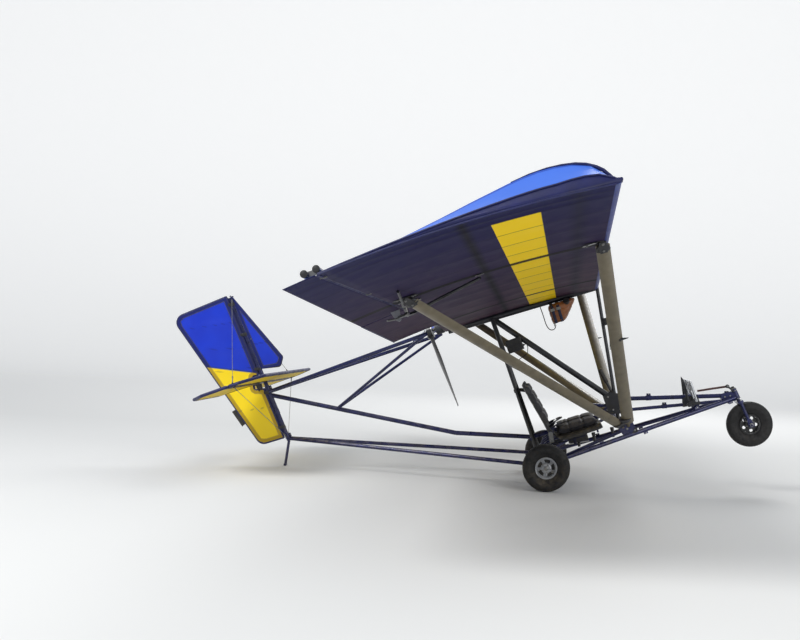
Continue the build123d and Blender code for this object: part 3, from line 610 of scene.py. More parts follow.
def cloth(name, base, other, rough, paint, coat=0.2, gloss=0.5, wave=0.002, threads=900.0):
    material, tree, shader = new_material(name)
    place = add_node(tree, "ShaderNodeUVMap", uv_map="cloth").outputs[0]
    axes = add_node(tree, "ShaderNodeSeparateXYZ", {0: place})
    here = add_node(tree, "ShaderNodeTexCoord").outputs["Object"]
    drift = use_group(tree, mottle, {"Vector": here, "Scale": 3.2, "Low": 0.0, "High": 1.0}).outputs[0]
    shade = blend_colour(tree, drift, base, other)
    rib = add_node(tree, "ShaderNodeAttribute", attribute_name="rib").outputs["Fac"]
    shade = paint(tree, shade, axes.outputs["X"], axes.outputs["Y"], rib)
    tree.links.new(shade, shader.inputs["Base Color"])
    patch = use_group(tree, mottle, {"Vector": here, "Scale": 7.0, "Low": rough[0], "High": rough[1]}).outputs[0]
    tree.links.new(patch, shader.inputs["Roughness"])
    shader.inputs["Coat Weight"].default_value = coat
    shader.inputs["Coat Roughness"].default_value = 0.2
    fibre = use_group(tree, weave, {"Vector": place, "Threads": threads}).outputs[0]
    ripple = add_node(tree, "ShaderNodeTexNoise", {"Vector": here, "Scale": 5.5, "Detail": 4.0}).outputs["Fac"]
    tape_rise = maths(tree, "MULTIPLY", between(tree, rib, -1.0, TAPE), 0.35)
    height = maths(tree, "ADD", maths(tree, "MULTIPLY", fibre, 0.05), maths(tree, "ADD", ripple, tape_rise))
    rise = add_node(tree, "ShaderNodeBump", {"Height": height, "Strength": 0.35, "Distance": wave})
    shader.inputs["Specular IOR Level"].default_value = gloss
    tree.links.new(rise.outputs["Normal"], shader.inputs["Normal"])
    return material


def shaded(tree, colour_in, mask, tone, amount=1.0):
    return blend_colour(tree, maths(tree, "MULTIPLY", mask, amount), colour_in, tone)


def paint_top(tree, shade, x, y, rib):
    # Painted highlight: the tip's slope is lighter blue where the light falls on it
    shade = shaded(tree, shade, between(tree, y, SPAN - TIP_SLOPE, 9.0), colour(74, 122, 222), 0.75)
    shade = shaded(tree, shade, between(tree, x, -1.0, 0.05), colour(12, 22, 84), 0.8)
    tape = between(tree, rib, -1.0, TAPE)
    return shaded(tree, shade, tape, colour(16, 44, 140), 0.55)


def paint_under(tree, shade, x, y, rib):
    # Painted reflection and painted shade: a brownish tint of the ground inboard fades into deep blue towards the tip
    painted_reflection_fade = maths(tree, "DIVIDE", y, SPAN)
    shade = blend_colour(tree, painted_reflection_fade, shade, colour(12, 14, 66))
    low = straight(tree, y, BAND_IN[0], BAND_OUT[0], BAND_END)
    high = straight(tree, y, BAND_IN[1], BAND_OUT[1], BAND_END)
    band = maths(tree, "MULTIPLY", between(tree, x, low, high), between(tree, y, -1.0, BAND_END))
    shade = shaded(tree, shade, band, colour(244, 206, 18))
    line = between(tree, rib, -1.0, 0.010)
    shade = shaded(tree, shade, line, colour(14, 14, 40), 0.6)
    # Painted shadow: a dark spanwise band where a member inside the wing shades the cloth, seen from below
    dark_band = near(tree, x, 0.462 * CHORD, 0.045)
    shade = shaded(tree, shade, dark_band, colour(5, 5, 20), 0.95)
    shadow = near(tree, x, 0.115 * CHORD, 0.07)
    shade = shaded(tree, shade, shadow, colour(8, 9, 36), 0.6)
    strut_rib = between(tree, y, 2.725, 2.825)
    shade = shaded(tree, shade, strut_rib, colour(2, 2, 8), 0.97)
    notch_rib = between(tree, y, 0.690, 0.770)
    return shaded(tree, shade, notch_rib, colour(2, 2, 8), 0.97)


wing_top_cloth = cloth("Wing cloth above", colour(30, 76, 196), colour(22, 60, 172), (0.44, 0.52), paint_top,
    coat=0.03, gloss=0.28, wave=0.0012)
# The underside is the top's cloth made far darker as painted shade, brownish inboard as a painted reflection of the
# ground
wing_under_shaded_cloth = cloth("Wing cloth below in painted shade", colour(74, 54, 68), colour(60, 44, 60), (0.55, 0.62), paint_under,
    coat=0.0, gloss=0.08, wave=0.0006)
# The edge cloth binds the edges; on the wing's tip faces its dark is painted shade
edge_cloth = finish("Edge binding and painted tip shade", colour(10, 16, 66), colour(14, 22, 84), (0.4, 0.6), scale=9, grain=500, bump=0.3,
    dusty=0.0)
print("cloths", [m.name for m in (wing_top_cloth, wing_under_shaded_cloth, edge_cloth)])

# %% [markdown]
# The cover could be one plane that is bent over the ribs by modifiers. Rows of section points are
# surer: the notch for the propeller and the bay for the aileron are then only places where the rows
# stop. The blocks meet in equal border points, and welding makes one skin of them.

# %% Wing cover
def mark(piece, name, value_of):
    layer = piece.data.attributes.new(name, "FLOAT", "POINT")
    layer.data.foreach_set("value", [value_of(v.co) for v in piece.data.vertices])


def weld(piece, distance=2e-5):
    work = bmesh.new()
    work.from_mesh(piece.data)
    bmesh.ops.remove_doubles(work, verts=work.verts, dist=distance)
    bmesh.ops.recalc_face_normals(work, faces=work.faces)
    work.to_mesh(piece.data)
    work.free()


def out_of(point):
    # How far out along the span a point of either wing is
    return (mirrored(point, 1 if point[1] > 0 else -1) - ROOT).dot(OUT)


def cover_blocks(side, shape):
    ahead = [NOTCH_X - (NOTCH_X - TOP_LINE[0][0]) * (1 - cos(pi / 2 * i / 24)) for i in range(25)]
    back = [NOSE + (NOTCH_X - NOSE) * (1 - cos(pi / 2 * i / 20)) for i in range(21)]

    def place(rows, part, ys, xs):
        shape.skin(rows, part=part, uv=lambda i, j: (xs(i, j), ys[min(i, len(ys) - 1)]))

    ys = span_rows(0.0, SPAN)
    place([[skin_point(side, x, y, True) for x in ahead] for y in ys], 0, ys, lambda i, j: ahead[j])
    place([list(reversed(nose_points(side, y))) for y in ys], 0, ys, lambda i, j: 0.0)
    place([[skin_point(side, x, y, False) for x in back] for y in ys], 1, ys, lambda i, j: back[j])
    inner = [y for y in ys if y <= NOTCH_OUT + 1e-6]
    place([[skin_point(side, NOTCH_X, y, up) for up in (False, True)] for y in inner], 2, inner, lambda i, j: NOTCH_X)

    first = steps(NOTCH_X, AILERON_X[0] - HINGE_SLOT, 3)
    rest = steps(AILERON_X[0] - HINGE_SLOT, CHORD, 12)
    mid = span_rows(NOTCH_OUT, STEP_OUT)
    whole = first + rest[1:]
    place([[skin_point(side, x, y, False) for x in whole] for y in mid], 1, mid, lambda i, j: whole[j])
    place([[skin_point(side, x, y, True) for x in reversed(whole)] for y in mid], 0, mid,
          lambda i, j: whole[len(whole) - 1 - j])
    place([[skin_point(side, CHORD, y, up) for up in (False, True)] for y in mid], 2, mid, lambda i, j: CHORD)
    for y, xs in ((NOTCH_OUT, whole), (STEP_OUT, rest)):
        place([[skin_point(side, x, y, up) for up in (False, True)] for x in xs], 2, [y], lambda i, j: CHORD)

    outer = span_rows(STEP_OUT, SPAN)
    cuts = [steps(NOTCH_X, slot_line(y), 3) for y in outer]
    place([[skin_point(side, x, y, False) for x in xs] for xs, y in zip(cuts, outer)], 1, outer, lambda i,
        j: cuts[0][j])
    place([[skin_point(side, x, y, True) for x in reversed(xs)] for xs, y in zip(cuts, outer)], 0, outer,
          lambda i, j: cuts[0][3 - j])
    place([[skin_point(side, xs[-1], y, up) for up in (False, True)] for xs, y in zip(cuts, outer)], 2, outer,
          lambda i, j: CHORD)
    nose = nose_points(side, SPAN)
    above = [skin_point(side, x, SPAN, True) for x in steps(slot_line(SPAN), NOTCH_X, 3)]
    above += [skin_point(side, x, SPAN, True) for x in ahead[1:]]
    below = [skin_point(side, x, SPAN, False) for x in back[1:]]
    below += [skin_point(side, x, SPAN, False) for x in cuts[-1][1:]]
    loop = above + list(reversed(nose))[1:-1] + [skin_point(side, NOSE, SPAN, False)] + below
    shape.face(loop, 2)
    root_above = [skin_point(side, x, 0.0, True) for x in ahead]
    root_below = [skin_point(side, x, 0.0, False) for x in back[1:]]
    loop = root_above + list(reversed(nose_points(side, 0.0)))[1:-1] + [skin_point(side, NOSE, 0.0,
        False)] + root_below
    shape.face(loop, 2)


for label, side in SIDES:
    shape = Shape()
    cover_blocks(side, shape)
    # The end faces get the dark edge cloth; on the tip face this dark is painted shade
    piece = shape.make(f"wing_cover_{label}", "airframe", (wing_top_cloth, wing_under_shaded_cloth, edge_cloth), crease=32)
    weld(piece)
    mark(piece, "rib", lambda p: rib_distance(out_of(p)))
    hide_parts(f"wing_{label}")

# %% [markdown]
# ## Ailerons
# An aileron is the wing's own section behind a slanting hinge line, covered the same way. It rides on
# its own body, so it is a separate skin: round in front, where it turns in its slot, and sharp aft.

# %% Ailerons
def hinge_x(y):
    t = (y - AILERON_Y[0]) / (AILERON_Y[1] - AILERON_Y[0])
    return AILERON_X[0] + (AILERON_X[1] - AILERON_X[0]) * t


def aileron_loop(side, y):
    front = hinge_x(y)
    xs = steps(front, CHORD, 16)
    under = [skin_point(side, x, y, False, front=front) for x in xs]
    over = [skin_point(side, x, y, True, front=front) for x in reversed(xs)]
    nose = (over[-1] + under[0]) / 2 - mirrored(AFT, side) * 0.005
    return under + over, nose


for label, side in SIDES:
    shape = Shape()
    ys = span_rows(*AILERON_Y)
    rows = [aileron_loop(side, y) for y in ys]
    xs = steps(0.83 * CHORD, CHORD, 16)
    shape.skin([loop[:17] for loop, nose in rows], part=1, uv=lambda i, j: (xs[j], ys[min(i, len(ys) - 1)]))
    shape.skin([loop[17:] for loop, nose in rows], uv=lambda i, j: (xs[16 - j], ys[min(i, len(ys) - 1)]))
    shape.skin([[loop[16], loop[17]] for loop, nose in rows], part=2)
    shape.skin([[loop[-1], nose, loop[0]] for loop, nose in rows], part=2)
    for loop, nose in (rows[0], rows[-1]):
        shape.face(loop + [nose], 2)
    piece = shape.make(f"aileron_cover_{label}", f"aileron_{label}", (wing_top_cloth, wing_under_shaded_cloth, edge_cloth),
        crease=32)
    weld(piece)
    mark(piece, "rib", lambda p: rib_distance(out_of(p)))
    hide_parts(f"aileron_{label}")

# %% [markdown]
# The edges are bound. A bow tube bends round the tip's front corner under a dark sleeve, beads run
# along the tip's rim, and a tube stiffens the trailing edge. At the tip's rear corner the ends of two
# tubes stand clear of the cloth with black plugs in them, with a hinge bracket between.

# %% Edge tubes and hinges
for label, side in SIDES:
    aft, out, rise = (mirrored(way, side) for way in (AFT, OUT, RISE))
    shape = Shape()
    bow_y = SPAN - TIP_SLOPE
    bow = [wing(side, x, bow_y, top_of(x) + 0.001)
        for x in (0.50, 0.40, 0.31, 0.235, 0.17, 0.12, 0.08, 0.05, 0.03, 0.017)]
    bow += [wing(side, -0.006, bow_y + 0.012, 0.034), wing(side, -0.010, bow_y + 0.05, 0.020),
        wing(side, -0.006, SPAN - 0.006, 0.012)]
    shape.tube(bow, [0.002, 0.003, 0.004, 0.006, 0.008, 0.009, 0.010, 0.010, 0.010, 0.010, 0.011, 0.011, 0.009], 12)
    rim_x = steps(0.02, slot_line(SPAN), 22)
    for upper in (True, False):
        shape.tube([skin_point(side, x, SPAN, upper) for x in rim_x], 0.0045, 8)
    shape.tube([wing(side, CHORD - 0.002, y, 0.0) for y in steps(NOTCH_OUT, STEP_OUT, 8)], 0.0065, 10)
    shape.tube([wing(side, NOTCH_X, y, (top_of(NOTCH_X) + under_of(NOTCH_X)) / 2) for y in steps(0.0, NOTCH_OUT, 4)],
        0.0075, 10)
    slot_ys = steps(AILERON_Y[0] + 0.01, AILERON_Y[1] - 0.01, 12)
    shape.tube([wing(side, slot_line(y) + 0.0045, y,
        (top_of(slot_line(y)) * share_at(slot_line(y), y) + under_of(slot_line(y))) / 2) for y in slot_ys], 0.006,
        10)
    piece = shape.make(f"wing_edging_{label}", "airframe", (edge_cloth,))

    shape = Shape()
    spar_x, tube_r = 0.890 * CHORD, 0.0185
    ends = wing(side, spar_x, SPAN - 0.62, 0.034), wing(side, spar_x, SPAN - 0.012, 0.046)
    shape.tube([ends[0], ends[0].lerp(ends[1], 0.5), ends[1]], tube_r, 24)
    out_axis = (ends[1] - ends[0]).normalized()
    shape.lathe(ends[1], out_axis, [(0, tube_r + 0.0015), (0.006, tube_r + 0.0015), (0.009, tube_r - 0.003)], 24,
        part=1)
    for share in (0.05, 0.5, 0.95):
        y = AILERON_Y[0] + (AILERON_Y[1] - AILERON_Y[0]) * share
        x = hinge_x(y)
        mid = (top_of(x) * share_at(x, y) + under_of(x)) / 2
        for gap in (-0.009, 0.009):
            outline = [(-0.034, -0.010), (0.004, -0.007), (0.012, 0.0), (0.004, 0.007), (-0.034, 0.010)]
            shape.plate(outline, wing(side, x, y + gap, mid), aft, rise, 0.003, part=2)
        shape.lathe(wing(side, x + 0.006, y - 0.014, mid), out, [(0, 0.004), (0.028, 0.004)], 12, part=2)
    bracket = [(-0.05, -0.006), (0.045, -0.006), (0.05, 0.006), (0.02, 0.022), (-0.02, 0.022), (-0.055, 0.006)]
    shape.plate(bracket, wing(side, 0.909 * CHORD, SPAN - 0.045, 0.030), aft, rise, 0.004, part=2)
    piece = shape.make(f"wing_tube_ends_{label}", "airframe", (tube_blue, plastic_black, steel), bevel=0.0008)

    shape = Shape()
    tube_x = 0.928 * CHORD
    ends = wing(side, tube_x, SPAN - 0.50, 0.030), wing(side, tube_x, SPAN - 0.012, 0.040)
    shape.tube([ends[0], ends[0].lerp(ends[1], 0.5), ends[1]], tube_r, 24)
    shape.lathe(ends[1], out_axis, [(0, tube_r + 0.0015), (0.006, tube_r + 0.0015), (0.009, tube_r - 0.003)], 24,
        part=1)
    horn = [(-0.02, 0.0), (0.05, 0.0), (0.02, -0.075), (0.0, -0.085), (-0.012, -0.075)]
    shape.plate(horn, wing(side, hinge_x(2.45) + 0.03, 2.45, under_of(1.45) + 0.006), aft, rise, 0.004, part=2)
    piece = shape.make(f"aileron_tube_end_{label}", f"aileron_{label}", (tube_blue, plastic_black, bare_alloy),
        bevel=0.0008)

# %% [markdown]
# A strip of the same cloth closes the slit between the two panels over the root tube.

# %% Centre strip
shape = Shape()
xs = steps(0.0, NOTCH_X - 0.01, 40)
rows = []
for x in xs:
    h = top_of(max(x, 0.016)) + 0.002
    row = [wing(1, x, y, h + 0.004 * (1 - (y / 0.07) ** 2)) for y in (0.07, 0.035, 0.0)]
    row += [wing(-1, x, y, h + 0.004 * (1 - (y / 0.07) ** 2)) for y in (0.0, 0.035, 0.07)]
    rows.append(row)
shape.skin(rows, uv=lambda i, j: (xs[min(i, 40)], 0.2 + 0.02 * j))
centre_strip = shape.make("wing_centre_strip", "airframe", (edge_cloth,))
modify(centre_strip, "Cloth", "SOLIDIFY", thickness=0.002)

# %% [markdown]
# ## Tail surfaces
# Fin, rudder, stabilizer and elevator are bent tube frames with cloth shrunk over them, so each is a
# thin pad with a round rim, not a slab: the cloth leaves the rim tube, dips a few millimetres and
# rises again over every rib. The outline is a flat loop that is rounded at its corners and moved in
# by the tube's radius; rows of points between its two long sides make the cloth.

# %% Outline helpers
def rounded(points, radii, parts=7):
    loop = []
    count = len(points)
    for i, (point, radius) in enumerate(zip(points, radii)):
        corner = Vector(point)
        if not radius:
            loop.append(corner)
            continue
        a = (Vector(points[i - 1]) - corner).normalized()
        b = (Vector(points[(i + 1) % count]) - corner).normalized()
        half = a.angle(b) / 2
        centre = corner + (a + b).normalized() * (radius / sin(half))
        start, end = corner + a * (radius / tan(half)) - centre, corner + b * (radius / tan(half)) - centre
        for t in steps(0.0, 1.0, parts):
            loop.append(centre + start.slerp(end, t) * start.length)
    return loop


def soft_rectangle(half_x, half_y, radius, parts):
    return [(p.x, p.y) for p in rounded(rectangle(half_x, half_y), [radius] * 4, parts)]


def inset(loop, depth):
    made = []
    count = len(loop)
    area = sum(loop[i - 1].x * loop[i].y - loop[i].x * loop[i - 1].y for i in range(count))
    turn = 1 if area > 0 else -1
    for i in range(count):
        before, after = (loop[i] - loop[i - 1]).normalized(), (loop[(i + 1) % count] - loop[i]).normalized()
        n1, n2 = Vector((-before.y, before.x)) * turn, Vector((-after.y, after.x)) * turn
        bend = (n1 + n2).normalized()
        made.append(loop[i] + bend * (depth / max(0.3, bend.dot(n1))))
    return made


def resampled(chain, count):
    lengths = [0.0]
    for a, b in zip(chain, chain[1:]):
        lengths.append(lengths[-1] + (b - a).length)
    made, k = [], 0
    for want in steps(0.0, lengths[-1], count - 1):
        while k < len(chain) - 2 and lengths[k + 1] < want:
            k += 1
        t = (want - lengths[k]) / max(1e-9, lengths[k + 1] - lengths[k])
        made.append(chain[k].lerp(chain[k + 1], min(1.0, t)))
    return made


def off_segment(p, a, b):
    way = b - a
    t = min(1.0, max(0.0, (p - a).dot(way) / way.length_squared))
    return (p - a - way * t).length


# %% [markdown]
# A flat cloth panel has two skins that dip between the ribs and meet in a rounded edge. The rib
# distances are kept on its points, for the tapes that the cloth's finish draws.

# %% Cloth panel maker
CLOTH_DIP = 0.0045


def cloth_panel(name, body, outline, front_count, place, half, ribs, materials, columns=30, across=46):
    # The outline's first front_count points are its front side; the rest is its rear, end to start
    loop = inset(outline, half)
    front, rear = loop[:front_count], [loop[0], *reversed(loop[front_count:]), loop[front_count - 1]]
    front, rear = resampled(front, across), resampled(rear, across)
    lines = [(Vector(a), Vector(b)) for a, b in ribs]
    edges = list(zip(loop, loop[1:] + loop[:1]))

    def depth(p):
        edge = min(off_segment(p, a, b) for a, b in edges)
        rib = min([off_segment(p, a, b) for a, b in lines] or [9.0])
        t = min(1.0, edge / 0.05, rib / 0.05)
        return edge, rib, half - CLOTH_DIP * t * t * (3 - 2 * t)

    shape = Shape()
    shares = [(1 - cos(pi * j / columns)) / 2 for j in range(columns + 1)]
    flat = [[a.lerp(b, t) for t in shares] for a, b in zip(front, rear)]
    measured = [[depth(p) for p in row] for row in flat]
    for way in (1, -1):
        rows = [[place(p.x, p.y, way * m[2]) for p, m in zip(row, line)] for row, line in zip(flat, measured)]
        shape.skin(rows, uv=lambda i, j: tuple(flat[min(i, across - 1)][min(j, columns)]))
    closed = loop + loop[:2]
    shape.tube([place(p.x, p.y, 0.0) for p in closed], half, 14, part=1, caps=False)
    piece = shape.make(name, body, materials)
    values = [m for way in (1, -1) for line in measured for m in line]
    for label, index in (("edge", 0), ("rib", 1)):
        layer = piece.data.attributes.new(label, "FLOAT", "POINT")
        for i, m in enumerate(values):
            layer.data[i].value = m[index]
    return piece


# %% [markdown]
# The upright cloth is blue over yellow, parted by one straight line that runs through fin and rudder,
# with a dark hem along the rim. The level surfaces are yellow with the same hem.

# %% Tail cloth
HEM = 0.030
PART_LINE = ((-2.82, 1.302), (-2.298, 1.146))


def tail_paint(lower_part):
    def paint(tree, shade, x, y, rib):
        if lower_part:
            (x1, y1), (x2, y2) = PART_LINE
            line = maths(tree, "ADD", y1, maths(tree, "MULTIPLY", maths(tree, "SUBTRACT", x, x1),
                (y2 - y1) / (x2 - x1)))
            low = maths(tree, "LESS_THAN", y, line)
            shade = shaded(tree, shade, low, colour(246, 214, 24))
            dark_band = near(tree, maths(tree, "SUBTRACT", y, line), 0.004, 0.012)
            shade = shaded(tree, shade, dark_band, colour(16, 60, 110), 0.8)
            hem_tone = blend_colour(tree, low, colour(10, 20, 78), colour(168, 138, 20))
        else:
            hem_tone = colour(26, 28, 30)
        edge = add_node(tree, "ShaderNodeAttribute", attribute_name="edge").outputs["Fac"]
        shade = shaded(tree, shade, between(tree, edge, -1.0, HEM), hem_tone, 0.9)
        stitch = near(tree, edge, HEM - 0.004, 0.0015)
        shade = shaded(tree, shade, stitch, colour(200, 200, 196), 0.25)
        return shaded(tree, shade, between(tree, rib, -1.0, 0.009), colour(8, 14, 60), 0.3)
    return paint


fin_cloth = cloth("Tail cloth upright", colour(14, 56, 204), colour(10, 44, 184), (0.28, 0.45), tail_paint(True),
    coat=0.05, gloss=0.35, wave=0.0012)
level_cloth = cloth("Tail cloth level", colour(228, 196, 30), colour(206, 176, 34), (0.5, 0.58), tail_paint(False),
    coat=0.0, gloss=0.22, wave=0.001)

RUDDER_HALF, FIN_HALF, LEVEL_HALF = 0.014, 0.011, 0.013
TAIL_HINGE = (-2.3432, 1.082)
TAIL_TILT = radians(9.0)


def upright(x, z, y):
    return craft(x, y, z)


def level(u, y, h):
    x = TAIL_HINGE[0] + u * cos(TAIL_TILT) - h * sin(TAIL_TILT)
    return craft(x, y, TAIL_HINGE[1] + u * sin(TAIL_TILT) + h * cos(TAIL_TILT))


def hinge_line(z):
    return -2.210 - 0.295 * (z - 0.559) / 1.327


LEVEL_AHEAD = level(1, 0, 0) - level(0, 0, 0)
LEVEL_UP = level(0, 0, 1) - level(0, 0, 0)
notch = [(hinge_line(1.027), 1.027), (-2.398, 1.027), (-2.398, 1.137), (hinge_line(1.137), 1.137)]
outline = [(-2.210, 0.559), *notch, (-2.505, 1.886), (-3.035, 1.778), (-2.440, 0.531)]
outline = rounded(outline, [0.012, 0, 0.01, 0.01, 0, 0.012, 0.08, 0.08])
front_count = 8 + 1 + 8 + 8 + 1 + 8
ribs = [((-2.28, 0.85), (-2.60, 0.86)), ((-2.40, 1.40), (-2.88, 1.46)), ((-2.45, 1.64), (-2.98, 1.66)),
    ((-2.40, 1.22), (-2.78, 1.24))]
cloth_panel("rudder_cloth", "rudder", outline, front_count, upright, RUDDER_HALF, ribs, (fin_cloth, edge_cloth))
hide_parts("rudder")

outline = rounded([(-2.318, 1.182), (-2.485, 1.884), (-2.448, 1.874), (-2.098, 1.266), (-2.136, 1.182)],
    [0.008, 0.008, 0.008, 0.036, 0.036])
cloth_panel("fin_cloth", "airframe", outline, 16, upright, FIN_HALF, [((-2.36, 1.42), (-2.19, 1.42))],
    (fin_cloth, edge_cloth), 24, 34)
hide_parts("fin")

outline = rounded([(0.026, -1.23), (0.026, 1.23), (0.12, 1.23), (0.285, 0.97), (0.285, -0.97), (0.12, -1.23)],
    [0.02, 0.02, 0.03, 0.05, 0.05, 0.03])
ribs = [((0.03, y), (0.28, y)) for y in (-0.93, -0.62, -0.31, 0.0, 0.31, 0.62, 0.93)]
cloth_panel("stabilizer_cloth", "airframe", outline, 16, level, LEVEL_HALF, ribs, (level_cloth, edge_cloth),
    20, 90)
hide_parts("stabilizer")

for label, side in SIDES:
    points = [(0.013, 0.052), (0.013, 1.23), (-0.21, 1.23), (-0.335, 1.04), (-0.335, 0.30)]
    outline = rounded([(u, y * side) for u, y in points], [0.01, 0.02, 0.05, 0.05, 0.05])
    ribs = [((0.0, y * side), (-0.33, y * side)) for y in (0.31, 0.62, 0.93)]
    cloth_panel(f"elevator_cloth_{label}", "elevator", outline, 16, level, LEVEL_HALF, ribs,
        (level_cloth, edge_cloth), 20, 46)
shape = Shape()
shape.tube([level(0, y, 0) for y in (-0.09, 0.0, 0.09)], LEVEL_HALF, 20)
horn = [(-0.036, 0.0), (-0.002, 0.0), (-0.012, -0.066), (-0.021, -0.075), (-0.030, -0.066)]
for y in (-0.052, 0.052):
    shape.bolt(level(-0.021, y * 1.06, -0.064), PORT * y, 0.007, part=1)
    shape.plate(horn, level(0, y, -0.006), LEVEL_AHEAD, LEVEL_UP, 0.004, part=1)
elevator_torque = shape.make("elevator_torque_tube", "elevator", (tube_blue, tube_black), bevel=0.0008)
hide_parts("elevator")

# %% [markdown]
# Thin wires brace the tail: from the post's top down to fittings near the stabilizer's tips and on to
# the post's foot. The wires are taut, so each is a straight run with a sleeve at both ends.

# %% Tail wires
shape = Shape()
for side in (1, -1):
    tip = level(0.045, 1.14 * side, 0.016)
    under = level(0.045, 1.14 * side, -0.016)
    for high, low in ((craft(-2.462, 0.014 * side, 1.846), tip), (under, craft(-2.185, 0.014 * side, 0.56))):
        shape.tube([high, low], 0.0022, 8)
        way = (low - high).normalized()
        for end, sign in ((high, 1), (low, -1)):
            shape.tube([end + way * (0.01 * sign), end + way * (0.075 * sign)], 0.0045, 8)
        shape.tube([low - way * 0.075, low - way * 0.10], 0.006, 6)
    plate = [(-0.03, -0.018), (0.03, -0.018), (0.038, 0.0), (0.03, 0.018), (-0.03, 0.018), (-0.038, 0.0)]
    for h in (0.0145, -0.0145):
        shape.plate(plate, level(0.045, 1.14 * side, h), LEVEL_AHEAD, PORT, 0.003, part=1)
        shape.bolt(level(0.045, 1.14 * side, h * 1.12), LEVEL_UP * h, 0.009, part=1)
stays = shape.make("tail_wires", "airframe", (steel, tube_black))

# %% [markdown]
# A dark strip closes the slot behind the post, with the hinge straps over it; the strip is painted
# shade, a dark piece where the gap between fin and rudder shows shade. The rudder's own tube stands on
# the hinge line, so it turns in place; it sinks about 4 mm into the strip at every angle.

# %% Rudder hinge and trim tab
POST_SLOPE = 0.2223
HINGE_RUNS = ((0.585, 1.02), (1.145, 1.86))


def slanted(x, z_at, z):
    # A point at height z on a line parallel to the tail post, which is at x where the height is z_at
    return craft(x - POST_SLOPE * (z - z_at), 0, z)


def add_run(shape, x, z_at, radius, sides):
    for low, high in HINGE_RUNS:
        shape.tube([slanted(x, z_at, z) for z in (low, (low + high) / 2, high)], radius, sides)


shape = Shape()
# The dark strip in the slot is painted shade for the gap between fin and rudder
add_run(shape, -2.195, 0.535, 0.0085, 16)
post = craft(-POST_SLOPE, 0, 1) - craft(0, 0, 0)
for z in (0.66, 0.98, 1.20, 1.52, 1.80):
    spot = slanted(-2.180, 0.535, z)
    shape.lathe(spot - post * 0.014, post, [(0, 0.019), (0.0015, 0.0205), (0.0265, 0.0205), (0.028, 0.019)], 28,
        part=1)
    for y in (-0.0205, 0.0205):
        shape.plate([(-0.044, -0.012), (0.0, -0.014), (0.0, 0.014), (-0.044, 0.012)], spot + PORT * y, FORWARD, post,
            0.0028, part=1)
        shape.bolt(spot + PORT * (y * 1.08) - FORWARD * 0.036, PORT * y, 0.006, part=1)
slot_shade_strip = shape.make("rudder_hinge_shade_strip", "airframe", (edge_cloth, tube_black), bevel=0.0006)

shape = Shape()
add_run(shape, -2.220, 0.559, 0.015, 24)
hinge_tube = shape.make("rudder_hinge_tube", "rudder", (edge_cloth,), bevel=0.0006)

shape = Shape()
shape.plate([(-0.028, -0.076), (0.038, -0.080), (0.038, 0.080), (-0.026, 0.074)], craft(-2.574, 0.004, 0.812),
            craft(-1, 0.10, -0.477) - craft(0, 0, 0), craft(-0.477, 0, 1) - craft(0, 0, 0), 0.002)
for t in (-0.05, 0.0, 0.05):
    shape.bolt(craft(-2.561 - 0.477 * t, -0.013, 0.812 + t), craft(0, -1, 0) - craft(0, 0, 0), 0.005)
tab = shape.make("rudder_trim_tab", "rudder", (plastic_black,), bevel=0.0006)

# %% [markdown]
# ## Wheels
# A tyre is one skin of closed cross-sections turned about the axle. The section carries the bead, a
# bulging sidewall with raised rings, a shoulder and three tread grooves; the shoulder lugs come from
# pulling in the radius on some of the turned sections. The rim gets its bolts, nut, cap and valve, and
# each main rim dark plates between its spokes: painted shade in place of the open windows there.

# %% Tyres and wheel hardware
rubber = finish("Tyre rubber", colour(13, 13, 15), colour(21, 21, 22), (0.62, 0.85), scale=22, grain=300, bump=0.3,
    dusty=0.3, reach=0.35)
nose_rubber = finish("Nose tyre rubber", colour(17, 17, 18), colour(27, 26, 26), (0.62, 0.85), scale=22, grain=300,
    bump=0.3, dusty=0.12, reach=0.7)
TYRE_SECTION = [
    (0.086, 0.34), (0.084, 0.52), (0.090, 0.63), (0.094, 0.70), (0.097, 0.715), (0.100, 0.715), (0.104,
        0.745), (0.118, 0.86),
    (0.134, 0.955), (0.138, 0.975), (0.142, 0.975), (0.146, 0.965), (0.158, 0.955), (0.162, 0.945), (0.170,
        0.87), (0.178, 0.79),
    (0.184, 0.67), (0.187, 0.56), (0.187, 0.50), (0.1825, 0.485), (0.1825, 0.435), (0.1885, 0.42), (0.1897,
        0.24), (0.1897, 0.20),
    (0.184, 0.185), (0.184, 0.10), (0.1899, 0.085), (0.190, 0.0),
]


def add_tyre(name, body, centre, half_width, material, turns=88):
    section = [(r, a * half_width) for r, a in TYRE_SECTION]
    section += [(r, -a) for r, a in reversed(section[:-1])]
    shape = Shape()
    rows = []
    for k in range(turns + 1):
        angle = 2 * pi * k / turns
        lug = 0.004 if k % 4 == 0 else 0.0
        rows.append([
            centre + FORWARD * (sin(angle) * d) + UP * (cos(angle) * d) + PORT * a
            for r, a in section
            for d in (r - lug * (0.168 < r < 0.1885 and abs(a) > 0.47 * half_width),)
        ])
    shape.skin(rows, closed=True)
    tyre = shape.make(name, body, (material,), crease=38)
    weld(tyre)
    return tyre


